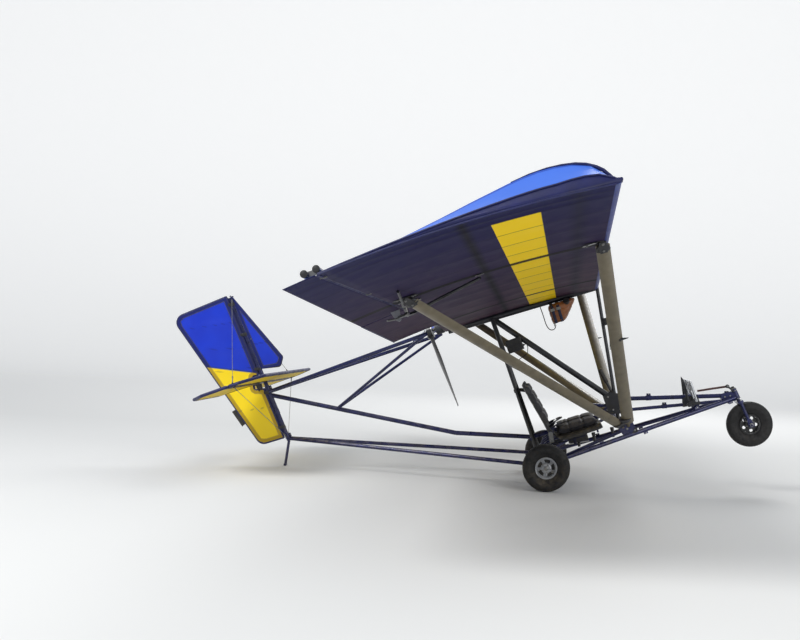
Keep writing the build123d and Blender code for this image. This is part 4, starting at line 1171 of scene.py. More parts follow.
def add_wheel_hardware(name, body, centre, half_width, faces, metal):
    shape = Shape()
    for side, face in faces:
        axis = PORT * side
        flange = [(0.0, 0.0815), (0.004, 0.087), (0.009, 0.0885), (0.011, 0.087), (0.007, 0.081)]
        shape.lathe(centre + axis * (half_width * 0.60), axis, flange, 56, caps=False)
        shape.lathe(centre + axis * (face - 0.002), axis,
            [(0, 0.040), (0.004, 0.040), (0.006, 0.037), (0.006, 0.024)], 40)
        for way in around(5, 0.5, UP, FORWARD):
            shape.bolt(centre + axis * (face + 0.003) + way * 0.031, axis, 0.0065, part=1)
        for way in around(10, 0.25, UP, FORWARD):
            shape.bolt(centre + axis * (face - 0.004) + way * 0.072, axis, 0.0042, part=1)
    axis = PORT * faces[0][0]
    stem = FORWARD * 0.050 + UP * -0.052
    shape.tube([centre + axis * (faces[0][1] - 0.012) + stem, centre + axis * (faces[0][1] + 0.014) + stem * 0.96],
        0.0034, 12, part=2)
    shape.lathe(centre + axis * (faces[0][1] + 0.010) + stem * 0.965, axis,
        [(0, 0.0046), (0.009, 0.0046), (0.011, 0.003)], 12, part=2)
    piece = shape.make(name, body, (metal, steel, plastic_black), bevel=0.0006)
    return piece


WHEELS = (
    ("left", craft(0, 0.756, 0), 0.075, rubber, ((1, 0.058), (-1, 0.054))),
    ("right", craft(0, -0.756, 0), 0.075, rubber, ((-1, 0.058), (1, 0.054))),
)
for label, centre, half_width, material, faces in WHEELS:
    tyre = add_tyre(f"tyre_detail_{label}", f"main_wheel_{label}", centre, half_width, material)
    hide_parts(f"tyre_{label}")
    add_wheel_hardware(f"rim_hardware_{label}", f"main_wheel_{label}", centre, half_width, faces, cast_alloy)
    # Dark plates between the five spokes, painted shade in place of open windows
    shape = Shape()
    for k in range(5):
        turn = 2 * pi * k / 5
        arc = [(0.068, turn + 0.40 * (s / 6 - 1)) for s in range(13)] + [(0.043, turn + 0.30 * (1 - s / 6))
            for s in range(13)]
        window = [(r * cos(a), r * sin(a)) for r, a in arc]
        shape.plate(window, centre + PORT * (faces[0][0] * 0.0213), FORWARD, UP, 0.002)
    window_shade = shape.make(f"rim_window_shade_{label}", f"main_wheel_{label}", (plastic_black,), bevel=0.0004)
nose_wheel_at = craft(1.730, 0, 0)
tyre = add_tyre("tyre_detail_nose", "nose_wheel", nose_wheel_at, 0.066, nose_rubber)
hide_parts("tyre_nose")
add_wheel_hardware("rim_hardware_nose", "nose_wheel", nose_wheel_at, 0.066, ((-1, 0.052), (1, 0.048)), blade_black)

# %% [markdown]
# ## Joints of the frame
# Real tube frames show how they are held: sleeves and saddle clamps where tubes meet, gusset plates,
# bolts with washers and nuts. A clamp is a split sleeve round the tube with two lugs and a bolt.

# %% Clamps, nuts and gussets
def ramp(a, b, t):
    return Vector(a).lerp(Vector(b), t)


def clamp(shape, spot, along, radius, length=0.045, part=0, lug=1):
    along = along.normalized()
    r = radius + 0.0028
    profile = [(-length / 2, r - 0.0015), (-length / 2 + 0.002, r), (length / 2 - 0.002, r), (length / 2, r - 0.0015)]
    shape.lathe(spot, along, profile, 28, part, caps=False)
    if not lug:
        return
    across = along.cross(PORT)
    across = across.normalized() if across.length > 0.3 else along.cross(UP).normalized()
    normal = along.cross(across)
    for h in (-0.004, 0.004):
        outline = [(-length / 2 + 0.004, radius), (length / 2 - 0.004, radius), (length / 2 - 0.006, r + 0.016),
            (-length / 2 + 0.006, r + 0.016)]
        shape.plate(outline, spot + normal * h, along, across * lug, 0.003, part)
    shape.bolt(spot + across * (lug * (r + 0.010)) + normal * 0.0055, normal, 0.0065, 1)
    shape.bolt(spot + across * (lug * (r + 0.010)) - normal * 0.0055, -normal, 0.0065, 1)


shape = Shape()
SPOTS = [
    # two points of the tube, shares along it, tube radius
    ((-0.02, 0.54, 0), (1.654, 0.0205, 0.239), (0.03, 0.30, 0.52, 0.80, 0.97), 0.016),
    ((0.651, 0, 0.404), (1.639, 0, 0.262), (0.05, 0.30, 0.66, 0.95), 0.019),
    ((0.662, 0, 0.300), (1.622, 0, 0.224), (0.05, 0.42, 0.70), 0.015),
    ((-2.475, 0, 1.862), (-2.180, 0, 0.535), (0.02, 0.30, 0.48, 0.64, 0.80, 0.97), 0.018),
]
for a, b, shares, radius in SPOTS:
    for side in ((1, -1) if a[1] else (1,)):
        start, end = craft(a[0], a[1] * side, a[2]), craft(b[0], b[1] * side, b[2])
        for k, t in enumerate(shares):
            clamp(shape, ramp(start, end, t), end - start, radius, lug=(1 if k % 2 else -1))
for y in (-0.60, -0.40, 0.40, 0.60):
    clamp(shape, craft(0, y, 0), PORT, 0.016)
for side in (1, -1):
    # Axle nut, washer and split pin outside each wheel
    hub = craft(0, 0.814 * side, 0)
    shape.lathe(hub, PORT * side, [(0.0, 0.026), (0.0025, 0.026)], 28, 1)
    shape.lathe(hub + PORT * (side * 0.0028), PORT * side, [(0, 0.0205), (0.011, 0.0205), (0.0125, 0.018)], 6, 1)
    shape.lathe(hub + PORT * (side * 0.010), PORT * side, [(0, 0.009), (0.011, 0.009), (0.0125, 0.0075)], 20, 1)
    shape.tube([craft(-0.018, 0.8285 * side, 0.003), craft(0.018, 0.8285 * side, -0.003)], 0.0014, 8, 1)
    # foot of the lift struts: two gussets, the cross bolt, the drag lug
    foot = craft(0.672, 0.950 * side, 0.215)
    for y in (-0.026, 0.026):
        outline = [(-0.085, 0.052), (-0.035, 0.088), (0.045, 0.080), (0.062, 0.0), (0.030, -0.046), (-0.040, -0.040)]
        shape.plate(outline, foot + PORT * y, FORWARD, UP, 0.004)
    for dx, dz in ((0, 0), (-0.05, 0.045), (0.012, 0.052)):
        for way in (1, -1):
            shape.bolt(foot + FORWARD * dx + UP * dz + PORT * (way * 0.0285), PORT * way, 0.010, 1)
    # webs that brace the cross tube to the frame tube ahead of it
    web = [(0.0, 0.0), (0.0, 0.090), (0.042, 0.082), (0.115, 0.012), (0.118, -0.020), (0.03, -0.025)]
    shape.plate(web, craft(0.672, 0.330 * side, 0.140), FORWARD, UP, 0.005, 2)
    shape.bolt(craft(0.695, 0.333 * side, 0.205), PORT * side, 0.009, 1)
    shape.bolt(craft(0.765, 0.333 * side, 0.140), PORT * side, 0.009, 1)
# plates where the nose tubes and the downtubes come together
for y in (-0.030, 0.030):
    outline = [(-0.085, 0.060), (-0.02, 0.085), (0.075, 0.045), (0.115, -0.035), (0.05, -0.115), (-0.06, -0.10)]
    shape.plate(outline, craft(0.655, y, 0.385), FORWARD, UP, 0.004, 2)
    for dx, dz in ((-0.045, 0.045), (0.05, 0.015), (0.04, -0.075), (-0.02, -0.07)):
        shape.bolt(craft(0.655 + dx, y, 0.385 + dz) + outboard(y) * 0.002, outboard(y), 0.009, 1)
    nose = [(-0.115, 0.030), (-0.02, 0.034), (0.012, 0.0), (0.0, -0.046), (-0.035, -0.050), (-0.12, -0.012)]
    shape.plate(nose, craft(1.655, y * 0.85, 0.262), FORWARD, UP, 0.004)
    for dx in (-0.085, -0.04):
        shape.bolt(craft(1.655 + dx, y * 0.92, 0.262), outboard(y), 0.008, 1)
hardware = shape.make("frame_fittings", "airframe", (tube_blue, steel, tube_black), bevel=0.0008)

# %% [markdown]
# The lift struts end in dark fork fittings with a tapered shoe over the fairing, at the wing and at
# the foot. A short jury spike stands off the front strut. Aileron rods and a bellcrank run under the
# cloth from the rear strut's fitting towards the dark rib, and close to the hinge.

# %% Strut fittings
for label, side in SIDES:
    aft, out, rise = (mirrored(way, side) for way in (AFT, OUT, RISE))
    shape = Shape()
    foot = craft(0.672, 0.950 * side, 0.215)
    strut_out = (2.9 - ROOT_OUT) / cos(DIHEDRAL)
    for share, size, low_gap in ((0.025, 0.046, 0.16), (0.773, 0.046, 0.12)):
        x = share * CHORD
        top = wing(side, x, strut_out, under_of(x) - 0.004)
        way = (top - foot).normalized()
        flat = (AFT - way * AFT.dot(way)).normalized()
        thick = way.cross(flat)
        for end, sign, start, reach in ((top, -1, 0.035, 0.085), (foot, 1, low_gap - 0.06, low_gap)):
            rows = []
            for t, grow in ((0.0, 0.55), (0.35, 0.92), (0.8, 1.05), (1.0, 1.06)):
                at_point = end + way * (sign * (start + (reach - start) * t))
                rows.append([at_point + flat * (cos(2 * pi * k / 28) * size * grow) + thick
                    * (sin(2 * pi * k / 28) * size * 0.42 * grow) for k in range(28)])
            shape.skin(rows, closed=True, caps=True, part=2)
        for h in (-0.017, 0.017):
            outline = [(-0.024, -0.095), (0.024, -0.095), (0.030, -0.02), (0.020, 0.020), (-0.020, 0.020),
                (-0.030, -0.02)]
            shape.plate(outline, top + thick * h, flat, way, 0.005)
            shape.bolt(top + thick * (h * 1.15), thick * h, 0.011, part=1)
            shape.bolt(top + thick * (h * 1.15) - way * 0.07, thick * h, 0.009, part=1)
        pad = [(-0.07, -0.03), (0.07, -0.03), (0.085, 0.0), (0.07, 0.03), (-0.07, 0.03), (-0.085, 0.0)]
        shape.plate(pad, wing(side, max(x, 0.09), strut_out, under_of(max(x, 0.09)) - 0.003), aft, out, 0.005)
        for dx in (-0.05, 0.05):
            shape.bolt(wing(side, max(x, 0.09) + dx, strut_out, under_of(max(x, 0.09)) - 0.005), -rise, 0.010, part=1)
    # the spike on the front strut
    x = 0.025 * CHORD
    top = wing(side, x, strut_out, under_of(x))
    mid = top.lerp(foot, 0.475)
    ahead = (FORWARD - (top - foot).normalized() * FORWARD.dot((top - foot).normalized())).normalized()
    shape.tube([mid + ahead * 0.035, mid + ahead * 0.062, mid + ahead * 0.095], [0.010, 0.008, 0.002], 14, part=2)
    shape.lathe(mid + ahead * 0.028, ahead, [(0, 0.016), (0.010, 0.016), (0.014, 0.010)], 20, part=2)
    # rods and bellcrank under the cloth
    def below(x, y, drop):
        return wing(side, x, y, under_of(x) - drop)
    shape.tube([below(1.365, 2.46, 0.060), below(1.12, 2.62, 0.045), below(0.84, 2.77, 0.022)], 0.011, 16, part=2)
    shape.tube([below(1.385, 2.50, 0.055), below(1.46, 2.62, 0.075), below(1.50, 2.72, 0.078)], 0.007, 12, part=1)
    shape.tube([below(1.32, 3.32, 0.012), below(1.34, 3.05, 0.040), below(1.36, 2.86, 0.050)], 0.009, 14, part=2)
    crank = [(-0.055, -0.012), (0.0, -0.022), (0.06, -0.010), (0.066, 0.008), (0.015, 0.020), (0.008, 0.075),
        (-0.010, 0.075), (-0.016, 0.020), (-0.06, 0.010)]
    for drop in (0.052, 0.066):
        shape.plate(crank, below(1.385, 2.50, drop), aft, out, 0.003)
    shape.lathe(below(1.385, 2.50, 0.072), rise, [(0, 0.008), (0.02, 0.013), (0.072, 0.014)], 18, part=1)
    for x, y in ((1.34, 2.36), (1.375, 2.70), (1.29, 2.58), (0.84, 2.77)):
        shape.bolt(below(x, y, 0.002), -rise, 0.012, part=1)
        shape.plate(rectangle(0.03, 0.02), below(x, y, 0.001), aft, out, 0.003)
    fittings = shape.make(f"strut_fittings_{label}", "airframe", (tube_black, steel, tube_black), bevel=0.0008)

# %% [markdown]
# ## Nose
# A red-brown rod runs from the pedals to a bent link at the steering head. Bushes and circlips cap
# the head, and the fork legs end in plates over the axle. The pedals have upright black levers and
# bare plates with raised ridges, so that a boot doesn't slip.

# %% Steering and pedals
STEER_UP = (craft(1.664, 0, 0.270) - nose_wheel_at).normalized()
rod_paint = finish("Rod red-brown", colour(72, 26, 22), colour(50, 22, 20), (0.4, 0.6))
shape = Shape()
shape.tube([craft(1.352, -0.055, 0.352), craft(1.48, -0.052, 0.350), craft(1.606, -0.048, 0.346)], 0.009, 16, part=2)
shape.tube([craft(1.600, -0.048, 0.350), craft(1.628, -0.040, 0.322), craft(1.646, -0.034, 0.292)], 0.008, 16)
shape.lathe(craft(1.603, -0.064, 0.347), PORT, [(0, 0.013), (0.004, 0.016), (0.026, 0.016), (0.030, 0.013)], 20)
shape.bolt(craft(1.603, -0.066, 0.347), -PORT, 0.010, part=1)
for height, r in ((0.2335, 0.027), (0.3025, 0.027), (0.306, 0.022)):
    shape.lathe(nose_wheel_at + STEER_UP * height, STEER_UP,
        [(0, r - 0.001), (0.0008, r), (0.0032, r), (0.004, r - 0.001)], 32, part=1)
for y in (-0.147, 0.147):
    # upright levers and their pads
    lean = 0.022 if y > 0 else 0.0
    low, high = craft(1.255, y, 0.255), craft(1.241 + lean, y, 0.464)
    shape.tube([low, low.lerp(high, 0.55), high], [0.012, 0.011, 0.008], 14)
    shape.tube([high, high + UP * 0.022 - FORWARD * 0.003], [0.008, 0.001], 14)
    shape.lathe(low - PORT * 0.02, PORT, [(0, 0.018), (0.04, 0.018)], 20)
    shape.plate([(-0.082, -0.030), (0.082, -0.030), (0.085, 0.030), (-0.085, 0.030)], craft(1.300, y, 0.398), PORT,
        UP + FORWARD * 0.12, 0.003, part=3)
    for k in range(5):
        row_x, row_z = 1.2940 + 0.0013 * k, 0.376 + 0.011 * k
        shape.tube([craft(row_x, y - 0.075, row_z), craft(row_x, y + 0.075, row_z)], 0.0016, 6, part=3)
shape.tube([craft(1.262, y, 0.275) for y in (-0.20, 0.0, 0.20)], 0.009, 14)
for y in (-0.035, 0.035):
    outline = [(-0.075, -0.045), (0.075, -0.045), (0.055, 0.040), (-0.060, 0.034)]
    shape.plate(outline, craft(1.288, y, 0.282), FORWARD, UP, 0.004)
    shape.bolt(craft(1.262, y, 0.275), outboard(y), 0.009, part=1)
    shape.bolt(craft(1.312, y, 0.288), outboard(y), 0.011, part=1)
nose = shape.make("steering_and_pedal_details", "airframe", (tube_black, steel, rod_paint, bare_alloy), bevel=0.0006)

shape = Shape()
for y in (-0.118, 0.118):
    side = 1 if y > 0 else -1
    shape.lathe(craft(1.730, y, 0), PORT * side, [(0, 0.0165), (0.011, 0.0165), (0.0125, 0.014)], 6, part=1)
    tab = [(-0.020, -0.022), (0.020, -0.022), (0.024, 0.0), (0.016, 0.055), (-0.016, 0.055), (-0.024, 0.0)]
    shape.plate(tab, craft(1.730, 0.110 * side, 0.0), FORWARD, STEER_UP, 0.005)
    shape.lathe(nose_wheel_at + PORT * (0.093 * side) + STEER_UP * 0.188, STEER_UP,
        [(0, 0.0145), (0.002, 0.016), (0.022, 0.016)], 24)
shape.lathe(nose_wheel_at + STEER_UP * 0.320, STEER_UP,
    [(0, 0.021), (0.003, 0.0225), (0.010, 0.0225), (0.012, 0.019)], 6, part=1)
shape.lathe(nose_wheel_at + STEER_UP * 0.331, STEER_UP, [(0, 0.014), (0.010, 0.014), (0.014, 0.009)], 24, part=2)
fork = shape.make("fork_details", "nose_steering", (tube_blue, steel, plastic_black), bevel=0.0006)

# %% [markdown]
# ## Seats
# Each seat is a thin moulded shell with turned-up sides and two loose cushions. A cushion starts as
# a slack pillow, a little smaller than its finished size. Its mesh is rebuilt in even small cells,
# then inflated as cloth with the swelling capped, so that it crowns and wrinkles by itself. Seams
# and sewn channels are pressed in afterwards.

# %% Cushion maker
def pillow(name, origin, long_dir, wide_dir, length, width, thickness, columns=22, rows=22):
    normal = wide_dir.cross(long_dir).normalized()
    shape = Shape()
    for way in (1, -1):
        grid = []
        for i in range(rows + 1):
            u = 2 * i / rows - 1
            line = []
            for j in range(columns + 1):
                v = 2 * j / columns - 1
                lift = (max(0.0, 1 - u ** 6) * max(0.0, 1 - v ** 6)) ** 0.5
                x = u * length / 2 * (1 - 0.035 * abs(v) ** 3)
                y = v * width / 2 * (1 - 0.035 * abs(u) ** 3)
                line.append(origin + long_dir * x + wide_dir * y + normal * (way * lift * thickness / 2))
            grid.append(line if way == 1 else line[::-1])
        shape.skin(grid)
    piece = shape.make(name, "airframe", (seat_cloth_plain,))
    weld(piece)
    return piece


def settle(piece, cap):
    # Rebuild in even cells, inflate as cloth, and cap how far any point has moved
    scene = bpy.context.scene
    rebuild = piece.modifiers.new("Cells", "REMESH")
    rebuild.mode, rebuild.voxel_size = "VOXEL", 0.006
    bpy.context.view_layer.update()
    dense = bpy.data.meshes.new_from_object(piece.evaluated_get(bpy.context.evaluated_depsgraph_get()))
    piece.modifiers.clear()
    piece.data = dense
    before = [v.co.copy() for v in dense.vertices]
    cloth_sim = piece.modifiers.new("Inflate", "CLOTH")
    cloth_sim.settings.quality = 4
    cloth_sim.settings.mass = 0.3
    cloth_sim.settings.use_pressure = True
    cloth_sim.settings.uniform_pressure_force = 4.0
    cloth_sim.settings.effector_weights.gravity = 0.0
    cloth_sim.point_cache.frame_start, cloth_sim.point_cache.frame_end = 1, 20
    for frame_number in range(1, 21):
        scene.frame_set(frame_number)
    shown = piece.evaluated_get(bpy.context.evaluated_depsgraph_get())
    moved = [v.co.copy() for v in shown.data.vertices]
    piece.modifiers.clear()
    for vertex, old, new in zip(dense.vertices, before, moved):
        step = new - old
        vertex.co = old + step * (min(1.0, cap / step.length) if step.length > 1e-9 else 1.0)
    scene.frame_set(1)
    dense.shade_smooth()


def sew(piece, origin, long_dir, wide_dir, length, width, channels):
    # A welt runs round the rim; shallow channels cross the faces
    normal = wide_dir.cross(long_dir).normalized()
    for vertex in piece.data.vertices:
        p = vertex.co - origin
        u, v, h = p.dot(long_dir), p.dot(wide_dir), p.dot(normal)
        sink = 0.0
        for c in channels:
            t = abs(u - c * length / 2) / 0.016
            sink = max(sink, 0.0075 * max(0.0, 1 - t * t) ** 2 if t < 1 else 0.0)
        rim = min(length / 2 - abs(u), width / 2 - abs(v))
        t = abs(rim - 0.022) / 0.008
        sink = max(sink, 0.004 * (1 - t * t) if t < 1 else 0.0)
        vertex.co -= normal * (sink * (1 if h > 0 else -1))
    modify(piece, "Smooth", "SUBSURF", levels=1, render_levels=1)


# %% [markdown]
# The shell is one row of points along the seat's side view, swept across with its edges turned up. A
# wall thickness and one smoothing step come from modifiers, so the row stays easy to change.

# %% Seats
SEATS = (("left", 0.236), ("right", -0.236))
BACK_LOW, BACK_TOP = (0.072, 0.300), (-0.062, 0.672)
PAN_REAR, PAN_FRONT = (0.118, 0.236), (0.486, 0.280)
shell_paint = finish("Bucket plastic", colour(22, 23, 26), colour(34, 35, 38), (0.35, 0.55), grain=300, bump=0.2,
    coat=0.15)


def side_point(y, xz):
    return craft(xz[0], y, xz[1])


def seat_pad(name, y, low, high, width, thickness, channels):
    start, end = side_point(y, low), side_point(y, high)
    origin, long_dir = (start + end) / 2, (end - start).normalized()
    length = (end - start).length
    piece = pillow(name, origin, long_dir, -PORT, length, width, thickness)
    settle(piece, 0.012)
    sew(piece, origin, long_dir, -PORT, length, width, channels)
    return piece


def shell_rows(y):
    path = [(-0.086, 0.668), (-0.062, 0.602), (-0.019, 0.480), (0.020, 0.370), (0.047, 0.290), (0.060, 0.240), (0.088, 0.206),
            (0.140, 0.199), (0.240, 0.213), (0.380, 0.233), (0.470, 0.246), (0.500, 0.256)]
    rows = []
    for i, spot in enumerate(path):
        a, b = path[max(i - 1, 0)], path[min(i + 1, len(path) - 1)]
        way = (side_point(y, b) - side_point(y, a)).normalized()
        inward = PORT.cross(way).normalized()
        if inward.dot(UP) < 0 and inward.dot(FORWARD) < 0:
            inward = -inward
        row = []
        for v in (-0.203, -0.2025, -0.199, -0.190, -0.172, -0.14, -0.07, 0.0, 0.07, 0.14, 0.172, 0.190, 0.199, 0.2025,
                0.203):
            rise = 0.0
            if abs(v) > 0.14:
                rise = {0.172: 0.003, 0.190: 0.010, 0.199: 0.022, 0.2025: 0.036,
                    0.203: 0.044}[abs(v)] * (0.5 if i < 5 else 1.0)
            row.append(side_point(y, spot) + PORT * v + inward * rise)
        rows.append(row)
    return rows


for label, y in SEATS:
    shape = Shape()
    shape.skin(shell_rows(y))
    shell = shape.make(f"seat_shell_{label}", "airframe", (shell_paint,), crease=60)
    modify(shell, "Wall", "SOLIDIFY", thickness=0.004)
    modify(shell, "Smooth", "SUBSURF", levels=1, render_levels=1)
    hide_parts(f"seat_{label}")
    seat_pad(f"seat_cushion_{label}", y, PAN_REAR, PAN_FRONT, 0.372, 0.050, (-0.34, 0.30))
    seat_pad(f"back_cushion_{label}", y, BACK_LOW, BACK_TOP, 0.372, 0.030, (-0.40, 0.08, 0.52))

# %% [markdown]
# A lap belt of flat webbing lies over each seat cushion, with a buckle plate. Under the seats are
# bent hangers, a small battery in a tray, its strap and its leads.

# %% Belts and under-seat pieces
webbing = finish("Belt webbing", colour(18, 22, 48), colour(28, 32, 62), (0.6, 0.8), grain=900, bump=0.4, dusty=0.1)
for label, y in SEATS:
    shape = Shape()
    over = [(-0.206, 0.086, 0.235), (-0.197, 0.094, 0.272), (-0.180, 0.112, 0.291), (-0.12, 0.150, 0.3005), (-0.045, 0.172, 0.303),
            (0.045, 0.172, 0.303), (0.12, 0.150, 0.3005), (0.180, 0.112, 0.291), (0.197, 0.094, 0.272), (0.206, 0.086, 0.235)]
    rows = []
    for dy, x, z in over:
        rows.append([craft(x + t, y + dy, z + t * 0.12) for t in (-0.0225, -0.012, 0.0, 0.012, 0.0225)])
    shape.skin(rows)
    belt = shape.make(f"lap_belt_{label}", "airframe", (webbing,))
    modify(belt, "Webbing", "SOLIDIFY", thickness=0.0024)
    modify(belt, "Smooth", "SUBSURF", levels=2, render_levels=2)
    shape = Shape()
    face = craft(0.172, y, 0.308)
    top_dir = (UP - FORWARD * 0.12).normalized()
    shape.plate(soft_rectangle(0.036, 0.028, 0.007, 5), face, PORT, top_dir.cross(PORT), 0.011)
    shape.plate(soft_rectangle(0.016, 0.014, 0.003, 4), face + top_dir * 0.0065, PORT, top_dir.cross(PORT), 0.004,
        part=1)
    for dy in (-0.206, 0.206):
        shape.plate([(-0.018, -0.05), (0.018, -0.05), (0.018, 0.03), (0.0, 0.042), (-0.018, 0.03)],
            craft(0.080, y + dy, 0.212), FORWARD, UP, 0.003)
        shape.bolt(craft(0.080, y + dy, 0.186), outboard(dy), 0.009)
    buckle = shape.make(f"belt_buckle_{label}", "airframe", (steel, rod_paint), bevel=0.0012)

shape = Shape()
for y in (-0.36, -0.11, 0.11, 0.36):
    hanger = [(-0.035, 0.080), (0.005, 0.150), (0.05, 0.172), (0.16, 0.190), (0.44, 0.226), (0.462, 0.208),
        (0.466, 0.175)]
    shape.tube([craft(x, y, z) for x, z in hanger], 0.008, 14)
    for x, z in ((0.16, 0.194), (0.40, 0.2245)):
        shape.bolt(craft(x, y, z - 0.012), -UP, 0.008, part=2)
for y in (-0.156, 0.156):
    shape.tube([craft(-0.140, y * 0.95, 0.622), craft(-0.100, y, 0.616), craft(-0.064, y, 0.604)], 0.009, 14, part=1)
    shape.lathe(craft(-0.141, y * 0.93, 0.622), craft(-0.158, 0, 1) - craft(0, 0, 0),
        [(-0.016, 0.0185), (-0.014, 0.021), (0.014, 0.021), (0.016, 0.0185)], 24, part=1, caps=False)
for x in (0.16, 0.40):
    shape.tube([craft(x, y, 0.182 + (0.036 if x > 0.3 else 0.0)) for y in (-0.37, 0.0, 0.37)], 0.008, 14)
tray = soft_rectangle(0.085, 0.05, 0.01, 4)
for h, grow, part in ((0.085, 1.06, 1), (0.118, 1.0, 3), (0.150, 0.97, 3)):
    shape.plate([(x * grow, y * grow) for x, y in tray], craft(0.30, 0, h), FORWARD, PORT,
        0.004 if part == 1 else 0.036, part)
for y in (-0.03, 0.03):
    shape.lathe(craft(0.345, y, 0.168), UP, [(0, 0.008), (0.010, 0.008), (0.012, 0.006)], 16, part=2)
strap = [(-0.053, 0.086), (-0.053, 0.160), (-0.045, 0.1705), (0.045, 0.1705), (0.053, 0.160), (0.053, 0.086)]
shape.skin([[craft(0.27 + t, y, z) for t in (-0.012, 0.012)] for y, z in strap], part=4)
for y, way in ((-0.03, -1), (0.03, 1)):
    shape.tube([craft(0.345, y, 0.176), craft(0.36, y * 1.6, 0.190), craft(0.38, y * 3.0, 0.180),
        craft(0.36, y * 4.5, 0.150), craft(0.20, y * 4.0, 0.125), craft(0.02, y * 2.5, 0.120)], 0.0045, 12, part=4)
for x, y, z in ((0.592, -0.12, 0.15), (0.433, -0.08, 0.13), (0.30, 0.09, 0.10)):
    shape.lathe(craft(x, y, z), UP, [(-0.055, 0.010), (-0.045, 0.013), (0.0, 0.013), (0.006, 0.016), (0.03, 0.016)],
        18, part=1)
under = shape.make("seat_hangers_and_battery", "airframe", (tube_blue, tube_black, steel, plastic_black, webbing),
    bevel=0.001)

# %% [markdown]
# ## Tank, boxes and stick
# The tank is blow-moulded plastic: rounded all over, with moulded ribs, narrower at the bottom, and
# sloping up in front. Two straps hold it under the root tube; a cap, a spout and a hose finish it.

# %% Fuel tank
TANK_AT = wing(1, 0.187 * CHORD, 0.0, -0.0979)
TANK_AT = TANK_AT - PORT * TANK_AT.dot(PORT) + PORT * craft(0, 0, 0).dot(PORT)
TANK_AHEAD = (FORWARD * cos(INCIDENCE) + UP * sin(INCIDENCE)).normalized()
TANK_UP = TANK_AHEAD.cross(PORT).normalized()
tank_moulded = finish("Tank moulded plastic", colour(140, 82, 36), colour(96, 56, 30), (0.32, 0.5), scale=9,
    coat=0.15, grain=120, dusty=0.05)


def tank_point(x, y, h):
    return TANK_AT + TANK_AHEAD * x + PORT * y + TANK_UP * h


TANK_LEVELS = [(-0.084, 0.50), (-0.083, 0.70), (-0.078, 0.86), (-0.068, 0.95), (-0.052, 0.99), (-0.040, 1.0), (-0.034, 0.975), (-0.026, 0.975),
               (-0.020, 1.0), (0.0, 1.005), (0.014, 1.0), (0.020, 0.977), (0.028, 0.977), (0.034, 1.0), (0.052,
                   0.99), (0.068, 0.95),
               (0.078, 0.86), (0.083, 0.70), (0.084, 0.50)]


def tank_lean(h):
    # 0 at the tank's top, 1 at its bottom
    return (0.084 - h) / 0.168


def tank_ring(h, grow, count=56):
    lean = tank_lean(h)
    half_x = (0.131 - 0.072 * lean) * grow
    half_y = (0.104 - 0.016 * lean) * grow
    ring = []
    for k in range(count):
        a = 2 * pi * k / count
        c, s = cos(a), sin(a)
        x = half_x * (abs(c) ** 0.5) * (1 if c >= 0 else -1)
        y = half_y * (abs(s) ** 0.5) * (1 if s >= 0 else -1)
        ring.append(tank_point(x - 0.072 * lean, y, h))
    return ring


shape = Shape()
shape.skin([tank_ring(h, grow) for h, grow in TANK_LEVELS], closed=True, caps=True)
tank = shape.make("fuel_tank_body", "airframe", (tank_moulded,), crease=50)
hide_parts("fuel_tank")

# %% [markdown]
# The straps follow the tank's own narrowing, so they lie on its sides all the way down.

# %% Tank straps, cap and tap
shape = Shape()
for x in (-0.098, -0.046):
    sides = [(-(0.105 - 0.016 * tank_lean(h)), h) for h in (0.060, 0.02, -0.02, -0.060)]
    loop = [(0.0, 0.094), (-0.060, 0.092)] + sides + [(-0.070, -0.0855), (0.0, -0.0862)]
    loop = loop + [(-y, h) for y, h in reversed(loop[1:-1])]
    rows = [[tank_point(x + t, y, h) for t in (-0.0125, 0.0125)] for y, h in loop + loop[:1]]
    shape.skin(rows)
straps = shape.make("tank_straps", "airframe", (webbing,))
modify(straps, "Webbing", "SOLIDIFY", thickness=0.0022, offset=1.0)
shape = Shape()
spout = tank_point(0.035, -0.072, 0.052)
spout_way = (TANK_UP * 0.5 - PORT).normalized()
shape.lathe(spout, spout_way, [(0, 0.024), (0.028, 0.023), (0.030, 0.0265), (0.050, 0.0265), (0.054, 0.023)], 28)
spout_side = spout_way.orthogonal().normalized()
for way in around(14, 0, spout_side, spout_way.cross(spout_side)):
    ridge = way * 0.0265
    shape.tube([spout + spout_way * 0.031 + ridge, spout + spout_way * 0.049 + ridge], 0.0016, 6)
tap = tank_point(-0.114, -0.030, -0.078)
shape.lathe(tap, -TANK_UP, [(0, 0.012), (0.006, 0.012), (0.008, 0.007), (0.020, 0.007), (0.021, 0.009),
    (0.030, 0.009)], 18, part=1)
for x in (-0.098, -0.046):
    shape.plate(rectangle(0.018, 0.012), tank_point(x, -0.104, 0.030), TANK_AHEAD, TANK_UP, 0.006, part=1)
cap = shape.make("tank_cap_and_tap", "airframe", (plastic_black, steel), bevel=0.0008)

# %% [markdown]
# The hose hangs in a loop from the tap. Its length is measured on the smoothed line.

# %% Fuel hose
HOSE = [tap - TANK_UP * 0.028, tank_point(-0.118, -0.030, -0.128), tank_point(-0.165, -0.032, -0.132),
    tank_point(-0.188, -0.032, -0.080), tank_point(-0.186, -0.030, 0.010), tank_point(-0.190, -0.022, 0.088)]


def soft_line(name, route, radius, material, body="airframe"):
    curve = bpy.data.curves.new(name, "CURVE")
    curve.dimensions = "3D"
    spline = curve.splines.new("NURBS")
    spline.points.add(len(route) - 1)
    for point, spot in zip(spline.points, route):
        point.co = (*spot, 1.0)
    spline.order_u = 3
    spline.use_endpoint_u = True
    spline.resolution_u = 12
    curve.bevel_depth = radius
    curve.bevel_resolution = 4
    curve.use_fill_caps = True
    curve.materials.append(material)
    piece = bpy.data.objects.new(name, curve)
    bpy.context.scene.collection.objects.link(piece)
    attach(piece, body)
    return piece, spline.calc_length()


